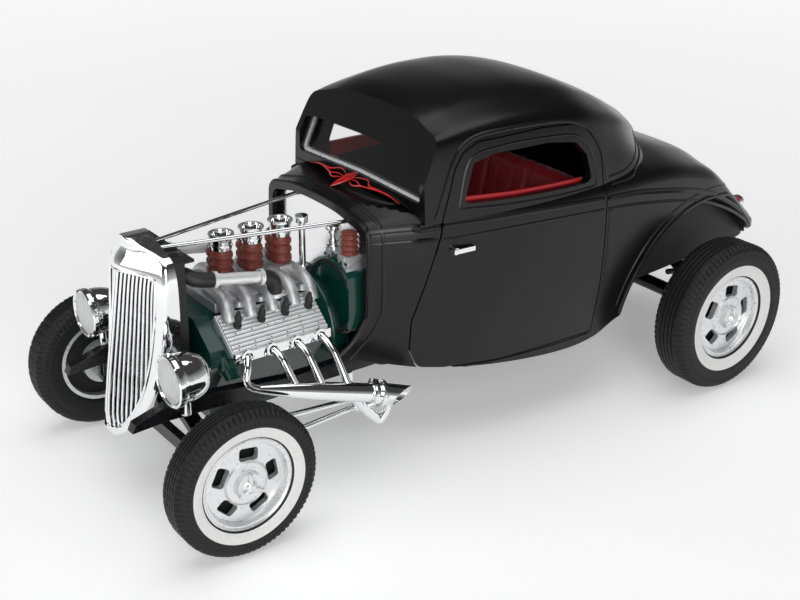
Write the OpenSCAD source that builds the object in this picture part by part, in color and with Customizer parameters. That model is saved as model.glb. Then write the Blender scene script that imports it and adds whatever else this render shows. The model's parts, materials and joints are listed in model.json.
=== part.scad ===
/* [Overall] */
// Distance between the front and rear axles
wheelbase = 158; // [150:1:190]
// Rear axle to the tip of the tail
tail_overhang = 36; // [35:0.5:38]
// Width over the body sides
body_w = 75.2; // [62:0.2:92]
// Height of the roof crown above the floor
roof_h = 95.3; // [92:0.5:102]

/* [Wheels and tyres] */
// Radius of each front tyre
front_tyre_r = 19; // [17:0.1:20]
// Width of each front tyre
front_tyre_w = 8.8; // [7:0.1:10]
// Distance between the middles of the front tyres
front_track = 79.6; // [76:0.2:96]
// Radius of each rear tyre
rear_tyre_r = 22.3; // [20:0.1:25]
// Width of each rear tyre
rear_tyre_w = 11.6; // [9:0.1:14]
// Space between each rear tyre and the widest part of the body
body_tyre_gap = 2.6; // [2:0.1:6]
// Radius of the front rims
front_rim_r = 11.7; // [10:0.1:13]
// Radius of the rear rims
rear_rim_r = 12.3; // [11:0.1:14]
// Radius of the front wheel spindles
spindle_r = 1.25; // [1:0.05:1.6]
// Radius of the rear axle ends
stub_r = 1.5; // [1.2:0.05:2]
// Radial running clearance of the wheels and kingpins
run_gap = 0.05; // [0.03:0.01:0.1]

/* [Steering] */
// Radius of the kingpins
kingpin_r = 1.1; // [0.8:0.05:1.4]
// Distance of the tie rod behind the front axle
steer_arm = 8; // [6:0.5:10]

/* [Body shell] */
// Thickness of the body panels
wall = 2; // [1.4:0.1:2.6]
// Thickness of the doors
door_wall = 2.4; // [1.6:0.1:3]
// Gap around the doors and the decklid
panel_gap = 0.35; // [0.3:0.05:0.6]
// Space between the rear tyre and the wheel arch
arch_gap = 8; // [7:0.5:10]
// Half width of the decklid
lid_half = 15.5; // [12:0.5:17]

/* [Engine] */
// Length of the cylinder heads
head_l = 27.5; // [24:0.5:31]
// Distance between the centres of two exhaust ports
port_pitch = 7; // [6:0.25:7.5]
// Distance between two pairs of intake horns
horn_pitch = 8.6; // [7:0.2:9]
// Radius of the exhaust side pipe
pipe_r = 2.9; // [2.2:0.1:3.3]

/* [Chassis] */
// Width of each frame rail
rail_w = 3; // [2:0.25:4]
// Depth of each frame rail
rail_h = 4; // [3:0.25:5]
// Height of the top of the frame under the cabin
rail_top = 29.5; // [28.5:0.25:30]
// Radius of the display screw holes
screw_r = 1.25; // [1:0.05:1.5]
// Depth of the display screw holes
screw_l = 6; // [4:0.5:7]

/* [Hidden] */

overall_l = front_tyre_r + wheelbase + tail_overhang;
front_y = front_tyre_r - overall_l / 2;
rear_y = front_y + wheelbase;
body_half = body_w / 2;
rear_tyre_x = body_half + body_tyre_gap + rear_tyre_w / 2;
front_tyre_x = front_track / 2;
arch_r = rear_tyre_r + arch_gap;

// Places along the body, measured back from the rear axle
nose_s = -119;
lip_s = -110.8;
firewall_s = -108.6;
split_s = -97.6;
glass_s = -96.3;
hinge_s = -41;
firewall_t = 1.2;
belt_z = 66;

// Windshield plane: it leans back by this much for each unit of height
rake = 0.39;
glass_foot_z = 70.9;
function windshield_at(z) = [glass_s + rake * (z - glass_foot_z), z];

// Engine, measured back from the rear axle to the middle of the heads
engine_s = -134;
crank_z = 33;

// ---------- curves ----------

// Point at t on the curve from a to c that is bent towards b
function bend(a, b, c, t) = (1 - t) * (1 - t) * a + 2 * t * (1 - t) * b + t * t * c;

// Smooth line guided by the corner points p, n steps for each corner
function smooth(p, n) = concat([
    for (i = [1:len(p) - 2])
        let (a = i == 1 ? p[0] : (p[i - 1] + p[i]) / 2,
             c = i == len(p) - 2 ? p[i + 1] : (p[i] + p[i + 1]) / 2)
        for (k = [0:n - 1]) bend(a, p[i], c, k / n)], [p[len(p) - 1]]);

// Value at s of a smooth run through the pairs [s, value] of k
function span_at(k, s, i = 0) = i >= len(k) - 2 || s < k[i + 1][0] ? i : span_at(k, s, i + 1);
function slope_at(k, i) =
    let (a = max(i - 1, 0), b = min(i + 1, len(k) - 1))
    (k[b][1] - k[a][1]) / (k[b][0] - k[a][0]);
function along(k, s) =
    let (i = span_at(k, s), h = k[i + 1][0] - k[i][0], u = min(max((s - k[i][0]) / h, 0), 1))
    k[i][1] * (1 + 2 * u) * (1 - u) * (1 - u) + slope_at(k, i) * h * u * (1 - u) * (1 - u)
    + k[i + 1][1] * u * u * (3 - 2 * u) + slope_at(k, i + 1) * h * u * u * (u - 1);

// ---------- body shape, in steps along the body ----------

// How far the side at the belt lies inside the widest point
belt_in = [[-119, 15], [-110.8, 14], [-104, 11], [-96.5, 7.4], [-87, 4.6], [-74, 2.3], [-59, 0.7], [-44, 0],
           [-29, 0.2], [-14, 1.2], [1, 2.7], [12, 4.1], [24, 6], [29, 7.2], [32, 8.6], [33.6, 10.4], [34.8, 14],
           [35.6, 19], [36, 25]];
// How far the foot of the side lies inside the belt
foot_in = [[-119, 1.5], [-96, 1.8], [-74, 2.4], [-44, 2.6], [1, 2.4], [26, 1.2], [36, 0.8]];
// Height of the foot of the side
foot_z = [[-119, 31.2], [-104, 27], [-96, 25.3], [-75, 22], [-52, 20.3], [-40, 21.4], [-32, 24.5],
          [0, 32], [19, 36], [36, 36.3]];
// Height of the shoulder between the side and the top
shoulder_z = [[-119, 65], [-104, 65.8], [-90, 66.3], [-30, 66], [-14, 64.9], [1, 62], [8.6, 59.5], [14, 55.8],
              [19, 51], [24, 46.4], [29, 42], [32, 39.8], [34, 38.6], [36, 38]];
// Height of the crown of the cowl, and then of the deck
crown_z = [[-119, 68.2], [-110.8, 68.6], [-104, 70], [-96, 71.8], [-80, 71.8], [-30, 71.6], [-14, 70.4],
           [-7, 69.4], [1, 67.2], [8.6, 64.6], [14, 62], [19, 59.2], [24, 56.2], [29, 53], [32, 50.2], [34, 47.6],
           [35.2, 45], [36, 42]];
// How far the top rolls in from the side
roll_r = [[-119, 5], [-12, 5], [6, 7], [18, 9], [30, 9], [36, 5]];

function side_x(s) = body_half - along(belt_in, s);
function foot_x(s) = side_x(s) - along(foot_in, s);

// Half outline of the lower body at s, from the foot up to the crown; t is the wall left off
function lower_half(s, t) =
    let (x = side_x(s) - t, f = foot_x(s) - t, b = along(foot_z, s) - (t > 0 ? 8 : 0),
         h = along(shoulder_z, s) - t * 0.8, c = along(crown_z, s) - t, r = min(along(roll_r, s), x * 0.4),
         k = max(h - r * 0.9, b + (h - b) * 0.7))
    smooth([[f, b], [f + (x - f) * 0.6, b + (h - b) * 0.22], [x, b + (h - b) * 0.55], [x, k],
            [x - r * 0.15, h + (c - h) * 0.1], [x - r * 1.3, h + (c - h) * 0.5],
            [x * 0.42, c], [0, c]], 3);

// Greenhouse: half width at the belt, half width and height at the drip rail, height of the crown
green_in = [[-99, 7.3], [-92, 6], [-85, 4.6], [-74, 3], [-59, 1.6], [-44, 1.4], [-37, 1.8], [-29, 2.9], [-22, 5],
            [-15, 9.5], [-9, 16], [-5, 23], [-2.5, 31]];
drip_in = [[-99, 9.2], [-92, 8.6], [-85, 7.6], [-74, 6.4], [-59, 5.4], [-50, 5.2], [-44, 5.6], [-37, 6.8],
           [-29, 9], [-22, 12.5], [-15, 17.5], [-9, 23.5], [-5, 29], [-2.5, 33.5]];
drip_down = [[-99, 10], [-92, 9], [-85, 8.2], [-74, 7.6], [-59, 8], [-50, 9], [-44, 10], [-37, 12],
             [-29, 14.8], [-22, 17.5], [-15, 20.5], [-9, 23.5], [-5, 25.5], [-2.5, 27]];
crown_down = [[-99, 7.5], [-92.4, 5.4], [-89, 3.7], [-84, 2], [-74, 0.4], [-66, 0], [-55, 0.3], [-44, 2.2],
              [-35, 5.6], [-28, 8.8], [-20, 13], [-13, 16.6], [-8, 20.5], [-5, 23.6], [-2.5, 26.4]];

function green_half(s, t) =
    let (g = body_half - along(green_in, s) - t, d = body_half - along(drip_in, s) - t,
         e = roof_h - along(drip_down, s) - t * 0.8, c = roof_h - along(crown_down, s) - t)
    smooth([[g, belt_z - 8], [g, belt_z], [d + 0.7, e - 3], [d - 0.6, e + 0.6], [d * 0.86, e + (c - e) * 0.4],
            [d * 0.5, c], [0, c]], 3);

// Closed ring at s made from a half outline and its mirror image
function ring(h, s) = concat(
    [for (p = h) [p[0], s, p[1]]],
    [for (i = [len(h) - 2:-1:0]) [-h[i][0], s, h[i][1]]]);

// Solid skinned over rings that all have the same number of points
module skin(rings) {
    m = len(rings[0]);
    n = len(rings);
    polyhedron(
        points = [for (r = rings) for (p = r) p],
        faces = concat(
            [[for (i = [m - 1:-1:0]) i]],
            [for (j = [0:n - 2]) for (i = [0:m - 1])
                let (a = j * m + i, b = j * m + (i + 1) % m)
                each [[a, b, a + m], [b, b + m, a + m]]],
            [[for (i = [0:m - 1]) (n - 1) * m + i]]),
        convexity = 8);
}

lower_steps = [-119, -115, -111.6, -107, -103, -98, -92, -85, -76, -66, -55, -44, -35, -26, -18, -11, -5, 1, 7,
               13, 18, 23, 27, 30, 32, 33.6, 34.8, 35.6, 36];
lower_inner_steps = [-121, -115, -111.6, -107, -103, -98, -92, -85, -76, -66, -55, -44, -35, -26, -18, -11, -5, 1,
                     7, 13, 18, 23, 27, 30, 32, 33.6];
green_steps = [-99, -95, -92, -89, -86, -82, -77, -71, -63, -55, -48, -42, -36, -31, -26, -21, -17, -13, -9, -6,
               -4, -2.5];
green_inner_steps = [-99, -95, -92, -89, -86, -82, -77, -71, -63, -55, -48, -42, -36, -31, -26, -21, -17, -13, -9,
                     -6];

module lower_body(t = 0) {
    skin([for (s = t > 0 ? lower_inner_steps : lower_steps) ring(lower_half(s, t), s)]);
}

module greenhouse(t = 0) {
    skin([for (s = t > 0 ? green_inner_steps : green_steps) ring(green_half(s, t), s)]);
}

module body_outer() {
    lower_body();
    greenhouse();
}

// Hollow inside; a wall is kept behind the windshield plane
module body_inner(t) {
    lower_body(t);
    difference() {
        greenhouse(t);
        side_prism([for (p = [[-130, 60], windshield_at(60), windshield_at(112), [-130, 112]])
            [p[0] + t * 1.07, p[1]]], -60, 60);
    }
}

// Solid from a side outline of [s, z] points, between x = a and x = b
module side_prism(outline, a, b) {
    translate([a, 0, 0]) rotate([90, 0, 90]) linear_extrude(b - a) polygon(outline);
}

// ---------- openings in the body ----------

// What is cut away ahead of the cowl: upright, then swept forward at its foot
module nose_cut() {
    side_prism([[-140, 110], [lip_s, 110], [lip_s, 41], [lip_s - 2, 37], [lip_s - 5, 33.4], [nose_s + 0.4, 31.2],
                [nose_s + 0.4, 15], [-140, 15]], -60, 60);
}

// Space ahead of the windshield plane, above the cowl
module windshield_cut() {
    side_prism([[-130, 73], [-99.6, 72.4], windshield_at(68), windshield_at(112), [-130, 112]], -60, 60);
}

glass_foot_half = 28;
glass_head_half = 27.3;
glass_head_z = 81.1;

// Outline of the windshield opening, seen from the front; g widens it
module windshield_outline(g = 0) {
    offset(r = 1.6 + g, $fn = 24) offset(delta = -1.6)
        polygon([[-glass_foot_half, glass_foot_z], [0, glass_foot_z + 0.7], [glass_foot_half, glass_foot_z],
                 [glass_head_half, glass_head_z], [0, glass_head_z + 0.6], [-glass_head_half, glass_head_z]]);
}

// Slab in the windshield plane, from depth a to depth b behind it
module in_windshield(a, b) {
    multmatrix([[1, 0, 0, 0], [0, 1, rake, glass_s - rake * glass_foot_z], [0, 0, 1, 0]])
        translate([0, b, 0]) rotate([90, 0, 0]) linear_extrude(b - a) children();
}

door_window = [[-86.7, 70], [-83.4, 79.9], [-77, 81.6], [-60, 81.7], [-50.5, 80.3], [-46.8, 76.4], [-45.4, 69.6],
               [-48, 68.8], [-70, 69.2]];

module window_outline(g = 0) {
    offset(r = 1.6 + g, $fn = 24) offset(delta = -1.6) polygon(door_window);
}

// Door outline around its hinge: distance from the hinge line, and height
door_sweep = [[0, 24.4], [12, 24], [33, 23.4], [50, 24.4], [57.4, 25.6], [59.7, 31], [59.5, 39.5], [55.7, 51.5],
              [52.2, 63], [51.8, 67], [48, 79.2], [45.6, 82.8], [41, 85], [21, 85.6], [7, 84.6], [0, 83.6]];
// Rear edge of the door, seen from the side
door_rear = [[-42.4, 15], [-42.2, 24], [-41.5, 38], [hinge_s - 0.3, 46], [hinge_s - 0.3, 75.6], [-43.2, 79.4],
             [-46.6, 83.4], [-52, 90], [-130, 90], [-130, 15]];

module door_zone(side, g = 0) {
    mirror([side < 0 ? 1 : 0, 0, 0]) intersection() {
        translate([body_half - 0.2, hinge_s, 0])
            rotate_extrude($fn = 180) intersection() {
                offset(r = 2.5 + g, $fn = 24) offset(delta = -2.5) polygon(
                    concat([[-20, 24.4]], door_sweep, [[-20, 83.6]]));
                translate([0, 0]) square([90, 120]);
            }
        translate([12, 0, 0]) rotate([90, 0, 90]) linear_extrude(60)
            offset(delta = g) polygon(door_rear);
    }
}

// Decklid outline around its hinge
lid_hinge_s = -1;
lid_hinge_z = along(crown_z, lid_hinge_s) + 0.1;
lid_reach = 34.6;

module lid_zone(g = 0) {
    intersection() {
        translate([0, lid_hinge_s, lid_hinge_z]) rotate([0, 90, 0])
            cylinder(r = lid_reach + g, h = 2 * (lid_half + g), center = true, $fn = 180);
        translate([-lid_half - g, lid_hinge_s - 0.2 - g, 40]) cube([2 * (lid_half + g), 60, 60]);
    }
}

rear_window_half = 13;
rear_window_h = 8;
rear_window_s = -14;
rear_window_z = 79;
rear_window_lean = -58;

module rear_window(g, depth) {
    translate([0, rear_window_s, rear_window_z]) rotate([rear_window_lean, 0, 0])
        linear_extrude(depth, center = true) offset(r = 2 + g, $fn = 24) offset(delta = -2)
            square([2 * rear_window_half, rear_window_h], center = true);
}

// Wheel arch around the rear axle: extra reach by the angle from its front end
arch_swell = [[0, -0.4], [34, -0.4], [60, 0], [84, 0.2], [109, 1.4], [117, 2.4], [126, 2], [140, 1.7], [158, 4.4],
              [180, 9]];

module arch_prism(g, a, b) {
    side_prism(concat(
        [for (q = [0:6:180]) let (r = arch_r + g + along(arch_swell, q)) [-r * cos(q), rear_tyre_r + r * sin(q)]],
        [[arch_r + g + 9, -20], [-arch_r - g, -20]]), a, b);
}

module body_shell() {
    difference() {
        body_outer();
        body_inner(wall);
        nose_cut();
        windshield_cut();
        in_windshield(-6, 10) windshield_outline();
        rear_window(0, 16);
        arch_prism(0, -75, 75);
        for (side = [-1, 1]) door_zone(side, panel_gap);
        lid_zone(panel_gap);
    }
}

// Where the cowl ends, ahead of the doors
cowl_split = [[-140, -5], [-94, -5], [-94, 33], [-90, 37], [-90, belt_z], [split_s, belt_z], [split_s, 110], [-140, 110]];
// Where the roof panel meets the panels below it
roof_split = [[split_s, belt_z], [-30, belt_z], [-20, 69], [-12, 71.5], [-5, 73], [2, 73.4], [2, 110], [split_s, 110]];

// Keeps a shape as one mesh
module meshed() {
    resize([0, 0, 0]) children();
}

module cowl() {
    color([0.05, 0.05, 0.055]) translate([0, rear_y, 0]) meshed() difference() {
        intersection() {
            lower_body();
            side_prism(cowl_split, -50, 50);
        }
        lower_body(wall);
        nose_cut();
        windshield_cut();
        for (side = [-1, 1]) door_zone(side, panel_gap);
    }
}

module roof() {
    color([0.05, 0.05, 0.055]) translate([0, rear_y, 0]) meshed() intersection() {
        body_shell();
        side_prism(roof_split, -60, 60);
    }
}

module rear_body() {
    color([0.05, 0.05, 0.055]) translate([0, rear_y, 0]) meshed() difference() {
        body_shell();
        side_prism(cowl_split, -60, 60);
        side_prism(roof_split, -60, 60);
        tail_light_cones(-0.1, tail_light_gap);
    }
}

module door(side) {
    color([0.05, 0.05, 0.055]) translate([0, rear_y, 0]) meshed() difference() {
        intersection() {
            difference() {
                body_outer();
                body_inner(door_wall);
            }
            door_zone(side);
        }
        windshield_cut();
        translate([-60, 0, 0]) rotate([90, 0, 90]) linear_extrude(120) window_outline();
    }
}

module decklid() {
    color([0.05, 0.05, 0.055]) translate([0, rear_y, 0]) meshed() intersection() {
        difference() {
            lower_body();
            lower_body(wall);
        }
        lid_zone();
    }
}

liner_in = 3.4;
liner_t = 1.2;
liner_z = 34;
trunk_z = 40;

// Trunk floor with a panel set back inside each rear wheel arch
module trunk_floor() {
    color([0.08, 0.08, 0.08]) translate([0, rear_y, 0]) meshed() {
        intersection() {
            lower_body(liner_in + 0.3);
            translate([-40, -31, trunk_z]) cube([80, 63, liner_t]);
        }
        difference() {
            intersection() {
                lower_body(wall + 0.05);
                arch_prism(liner_t, -60, 60);
                translate([-60, -60, liner_z]) cube([120, 100, 60]);
            }
            lower_body(liner_in + liner_t);
            difference() {
                arch_prism(0, -70, 70);
                lower_body(liner_in);
            }
        }
    }
}

module firewall() {
    color([0.9, 0.9, 0.92]) translate([0, rear_y, 0]) difference() {
        skin([for (s = [firewall_s, firewall_s + firewall_t]) ring(lower_half(s, wall + 0.05), s)]);
        translate([-60, -130, 0]) cube([120, 60, rail_top]);
    }
}

dash_s = -96;

module dashboard() {
    dash_half = side_x(dash_s) - wall + 0.2;
    color([0.06, 0.06, 0.06]) translate([0, rear_y, 0]) intersection() {
        translate([-dash_half, dash_s - 1.5, 57]) cube([2 * dash_half, 3, 9]);
        lower_body(wall + 0.05);
    }
}

floor_t = 1.2;
seat_half = 26;
seat_z = rail_top + floor_t + 0.05;

module bench_seat() {
    color([0.6, 0.03, 0.04]) translate([0, rear_y, 0]) rotate([90, 0, 90])
        translate([0, 0, -seat_half]) linear_extrude(2 * seat_half)
            polygon([[-71, seat_z], [-71, 42], [-67, 45], [-50, 44], [-44, 66], [-38, 66], [-40, seat_z]]);
}

wheel_x = 14;
wheel_s = -77.5;
column_lean = 62;
steer_ring_r = 9.5;

module steering_wheel() {
    color([0.7, 0.05, 0.05]) translate([wheel_x, rear_y + wheel_s, 61]) rotate([-column_lean, 0, 0]) {
        rotate_extrude($fn = 60) translate([steer_ring_r, 0]) circle(r = 0.8, $fn = 24);
        for (a = [90, 210, 330]) rotate([0, 0, a]) rotate([0, 90, 0]) cylinder(r = 0.4, h = steer_ring_r, $fn = 16);
        column = (wheel_s - firewall_s - firewall_t - 0.6) / sin(column_lean);
        translate([0, 0, -column]) cylinder(r = 0.9, h = column + 1.2, $fn = 24);
    }
}

module windshield_frame() {
    color([0.85, 0.85, 0.87]) translate([0, rear_y, 0]) in_windshield(-0.4, 1) difference() {
        windshield_outline();
        offset(delta = -0.8) windshield_outline();
    }
}

module windshield_glass() {
    color([0.8, 0.9, 0.95, 0.3]) translate([0, rear_y, 0]) in_windshield(0.1, 0.7)
        offset(delta = -0.82) windshield_outline();
}

module rear_glass() {
    color([0.8, 0.9, 0.95, 0.3]) translate([0, rear_y, 0]) rear_window(-0.02, 0.8);
}

handle_s = -90;
handle_z = 58.5;

module door_handle(side) {
    color([0.85, 0.85, 0.87]) mirror([side < 0 ? 1 : 0, 0, 0])
        translate([side_x(handle_s) + 0.05, rear_y + handle_s, handle_z]) {
            rotate([0, 90, 0]) cylinder(r = 0.9, h = 1.6, $fn = 24);
            translate([1, -0.9, -0.6]) rotate([0, 0, -4]) cube([0.9, 6.4, 1.2]);
        }
}

tail_light_s = 30;

tail_light_gap = 0.08;

// Tail light cones; as holes they start ahead of the lights and are wider by g
module tail_light_cones(from = 0, g = 0) {
    for (side = [-1, 1]) translate([side * 21.5, tail_light_s + from, 42.8]) rotate([-90, 0, 0])
        cylinder(r1 = 2.2 + g, r2 = 1.7 + g, h = 5 - from, $fn = 32);
}

module tail_lights() {
    color([0.6, 0.02, 0.03]) translate([0, rear_y, 0]) tail_light_cones();
}

// ---------- chassis ----------

rail_x = 18.5;
horn_y = -17.5;

// Side outline of a frame rail, from the front horn to the tail
module rail_outline() {
    f = wheelbase;
    polygon([[-f + horn_y, 27.4], [-f + horn_y + 1, 29.6], [-f - 8, 32], [-f + 6, 31.6], [-f + 26, rail_top],
             [-31.9, rail_top], [-24, 34.5], [-8, 36.5], [8, 36.5], [20, 35.4], [25, 34],
             [25, 32], [8, 36.5 - rail_h], [-8, 36.5 - rail_h], [-22, 34.5 - rail_h], [-33, rail_top - rail_h],
             [-f + 26, rail_top - rail_h], [-f + 4, 31.6 - rail_h], [-f - 8, 32 - rail_h]]);
}

module frame_rail(side) {
    color([0.06, 0.06, 0.06]) translate([side * rail_x - rail_w / 2, rear_y, 0]) rotate([90, 0, 90])
        linear_extrude(rail_w) rail_outline();
}

rail_gap = 2 * rail_x - rail_w;

// Blind holes from below for the screws of a display base
boss_s = [-98, -50];
boss_x = 12.5;
boss_z = rail_top - floor_t - screw_l - 1;

module crossmembers() {
    color([0.06, 0.06, 0.06]) {
        translate([-rail_gap / 2, front_y - 2.5, 28]) cube([rail_gap, 5, 3]);
        translate([-rail_gap / 2, rear_y + 8, 33]) cube([rail_gap, 4, 3]);
        translate([0, rear_y + 22, 33.5]) rotate([0, 90, 0]) cylinder(r = 1, h = rail_gap, center = true, $fn = 32);
        for (s = boss_s) difference() {
            union() {
                translate([-rail_gap / 2, rear_y + s - 3.5, rail_top - 3.2]) cube([rail_gap, 7, 3]);
                for (side = [-1, 1]) translate([side * boss_x, rear_y + s, boss_z])
                    cylinder(r = screw_r + 1.4, h = rail_top - floor_t - boss_z, $fn = 48);
            }
            translate([0, rear_y + s, 0]) rotate([90, 0, 0]) translate([0, 26.5, -5]) cylinder(r = 7.2, h = 10, $fn = 48);
            for (side = [-1, 1]) translate([side * boss_x, rear_y + s, boss_z - 1])
                cylinder(r = screw_r, h = screw_l + 1, $fn = 48);
        }
    }
}

tunnel_r = 8.6;

module floor_pan() {
    color([0.05, 0.05, 0.05]) translate([0, rear_y, 0]) difference() {
        union() {
            translate([0, 0, rail_top]) linear_extrude(floor_t) polygon(concat(
                [for (s = [-107:5:-37]) [foot_x(s) - wall - 0.3, s]],
                [[foot_x(-37) - wall - 0.3, -32], [-foot_x(-37) + wall + 0.3, -32]],
                [for (s = [-37:-5:-107]) [-foot_x(s) + wall + 0.3, s]]));
            hull() {
                translate([0, -107, crank_z]) rotate([-90, 0, 0]) cylinder(r = tunnel_r, h = 1, $fn = 32);
                translate([0, -78, 30]) rotate([-90, 0, 0]) cylinder(r = 5, h = 1, $fn = 32);
            }
            translate([-30, -33.2, rail_top]) cube([60, 1.2, 11]);
        }
        hull() {
            translate([0, -108, crank_z]) rotate([-90, 0, 0]) cylinder(r = tunnel_r - 1.2, h = 1, $fn = 32);
            translate([0, -79, 30]) rotate([-90, 0, 0]) cylinder(r = 3.8, h = 1, $fn = 32);
        }
        translate([-20, -120, 0]) cube([40, 80, rail_top]);
        translate([0, -rear_y, 0]) shaft_run(0.3);
    }
}

kingpin_x = front_tyre_x - front_tyre_w / 2 - 4.4;
boss_r = 2.2;
boss_h = 5;
ear_t = 1.6;
ear_gap = 0.35;

// Dropped beam axle with an upright boss and kingpin at each end
module front_axle() {
    color([0.07, 0.07, 0.07]) translate([0, front_y, front_tyre_r]) {
        for (side = [-1, 1]) {
            translate([side * kingpin_x, 0, -boss_h / 2]) cylinder(r = boss_r, h = boss_h, $fn = 48);
            translate([side * kingpin_x, 0, 0]) cylinder(r = kingpin_r, h = boss_h + 2 * ear_gap + 2 * ear_t + 1,
                center = true, $fn = 48);
        }
        rotate([90, 0, 0]) translate([0, 0, -1.2]) linear_extrude(2.4) polygon([
            [-kingpin_x, 1.8], [3.6 - kingpin_x, 1.2], [8.6 - kingpin_x, -2.6], [kingpin_x - 8.6, -2.6],
            [kingpin_x - 3.6, 1.2], [kingpin_x, 1.8], [kingpin_x, -1.8], [kingpin_x - 3.2, -2.3],
            [kingpin_x - 8, -6.2], [8 - kingpin_x, -6.2], [3.2 - kingpin_x, -2.3], [-kingpin_x, -1.8]]);
    }
}

spring_half = 22;

// Bow of a transverse leaf spring that is 2 * half wide and rises by up
module leaf_bow(half, up, t) {
    r = (half * half + up * up) / (2 * up);
    rotate([90, 0, 0]) linear_extrude(4, center = true) intersection() {
        translate([0, up - r]) difference() {
            circle(r = r, $fn = 240);
            circle(r = r - t, $fn = 240);
        }
        translate([-half, -1]) square([2 * half, up + 2]);
    }
}

module front_spring() {
    color([0.06, 0.06, 0.06]) translate([0, front_y, front_tyre_r + 3]) {
        leaf_bow(spring_half, 6, 2);
        for (side = [-1, 1]) translate([side * (spring_half - 1), 0, -5.6]) cylinder(r = 0.8, h = 6.5, $fn = 24);
    }
}

rod_r = 0.8;

// Straight round bar from a to b
module bar(a, b, r, n = 24) {
    d = b - a;
    translate(a) rotate([0, acos(d[2] / norm(d)), atan2(d[1], d[0])]) cylinder(r = r, h = norm(d), $fn = n);
}

// Round tube that follows the points p, with a ball at each corner
module tube(p, r, n = 24) {
    for (i = [0:len(p) - 2]) bar(p[i], p[i + 1], r, n);
    if (len(p) > 2) for (i = [1:len(p) - 2]) translate(p[i]) sphere(r = r, $fn = n);
}

radius_end_y = 44;
radius_x = 25;

// Hairpin rods from a plate on the axle to a bracket on each frame rail
module radius_rods() {
    color([0.85, 0.85, 0.87]) translate([0, front_y, 0]) for (side = [-1, 1]) {
        translate([side * radius_x, 2.1, 19.4]) cube([1.6, 1.6, 9.6], center = true);
        bar([side * radius_x, 2, 23.3], [side * (radius_x - 0.6), radius_end_y, 20], rod_r);
        bar([side * radius_x, 2, 15.6], [side * (radius_x - 0.6), radius_end_y, 17.8], rod_r);
        translate([side * (radius_x - 0.6), radius_end_y, 18.9]) cube([2, 3, 4.2], center = true);
        translate([side * (rail_x + 3), radius_end_y, 21.4]) cube([7.4, 2, 2.4], center = true);
        translate([side * (rail_x + 0.8), radius_end_y, rail_top - rail_h - 2.65]) cube([2, 2, 5.2], center = true);
    }
}

diff_r = 7;
plate_x = 34;

module rear_axle() {
    color([0.07, 0.07, 0.07]) translate([0, rear_y, rear_tyre_r]) {
        rotate([0, 90, 0]) {
            cylinder(r = 2.2, h = 2 * plate_x, center = true, $fn = 48);
            cylinder(r = stub_r, h = 2 * (rear_tyre_x + 2), center = true, $fn = 48);
            for (side = [-1, 1]) translate([0, 0, side * (plate_x + 0.75)])
                cylinder(r = 6.5, h = 1.5, center = true, $fn = 48);
            cylinder(r = diff_r, h = 8, center = true, $fn = 64);
        }
        rotate([90, 0, 0]) cylinder(r1 = 5, r2 = 3.2, h = 10, $fn = 48);
    }
}

module rear_spring() {
    color([0.06, 0.06, 0.06]) translate([0, rear_y + 10, rear_tyre_r + 2.6]) {
        leaf_bow(25, 8, 2);
        for (side = [-1, 1]) translate([side * 24, 0, 1]) rotate([80, 0, 0]) cylinder(r = 0.9, h = 9, $fn = 24);
    }
}

module shaft_run(g = 0) {
        bar([0, rear_y - 104, crank_z - 1], [0, rear_y - 84, crank_z - 3], 5.4 + g, 48);
        bar([0, rear_y - 85, crank_z - 2.9], [0, rear_y - 10.2, rear_tyre_r], 2.3 + g, 32);
}

module drive_shaft() {
    color([0.07, 0.07, 0.07]) shaft_run();
}

// ---------- wheels and steering ----------

// Yoke around the axle boss, with the wheel spindle and the steering arm
module knuckle(side) {
    ear_z = boss_h / 2 + ear_gap;
    web_x = boss_r + 0.4;
    color([0.07, 0.07, 0.07]) translate([side * kingpin_x, front_y, front_tyre_r]) mirror([side < 0 ? 1 : 0, 0, 0])
        difference() {
            union() {
                for (z = [ear_z, -ear_z - ear_t]) {
                    translate([0, 0, z]) cylinder(r = 2.3, h = ear_t, $fn = 48);
                    translate([0, -2, z]) cube([web_x + 1.2, 4, ear_t]);
                }
                translate([web_x, -2, -ear_z - ear_t]) cube([1.2, 4, 2 * (ear_z + ear_t)]);
                translate([web_x, 0, 0]) rotate([0, 90, 0])
                    cylinder(r = spindle_r, h = front_tyre_x - kingpin_x - web_x + 1.5, $fn = 48);
                translate([-1.2, 0, -ear_z - ear_t]) cube([2.4, steer_arm + 1.2, ear_t]);
            }
            cylinder(r = kingpin_r + run_gap, h = 30, center = true, $fn = 48);
        }
}

module tie_rod() {
    z = front_tyre_r - boss_h / 2 - ear_gap - ear_t - 1.2;
    color([0.07, 0.07, 0.07]) translate([0, front_y + steer_arm, z]) {
        rotate([0, 90, 0]) cylinder(r = 0.8, h = 2 * kingpin_x, center = true, $fn = 24);
        for (side = [-1, 1]) translate([side * kingpin_x, 0, -0.9]) cylinder(r = 1.5, h = 1.8, $fn = 32);
    }
}

// Tyre around the x axis, outer side towards +x
module tyre(r, w, rim) {
    color([0.08, 0.08, 0.085]) rotate([0, 90, 0]) rotate_extrude($fn = 120) polygon(concat(
        [[rim, -w * 0.36]],
        smooth([[rim + 0.6, -w * 0.42], [rim + (r - rim) * 0.4, -w / 2], [r - 2.4, -w / 2], [r - 0.6, -w * 0.45],
                [r, -w * 0.27], [r, 0], [r, w * 0.27], [r - 0.6, w * 0.45], [r - 2.4, w / 2],
                [rim + (r - rim) * 0.4, w / 2], [rim + 0.6, w * 0.42]], 3),
        [[rim, w * 0.36]]));
}

slots = 5;
slot_turn = 27;

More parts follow.
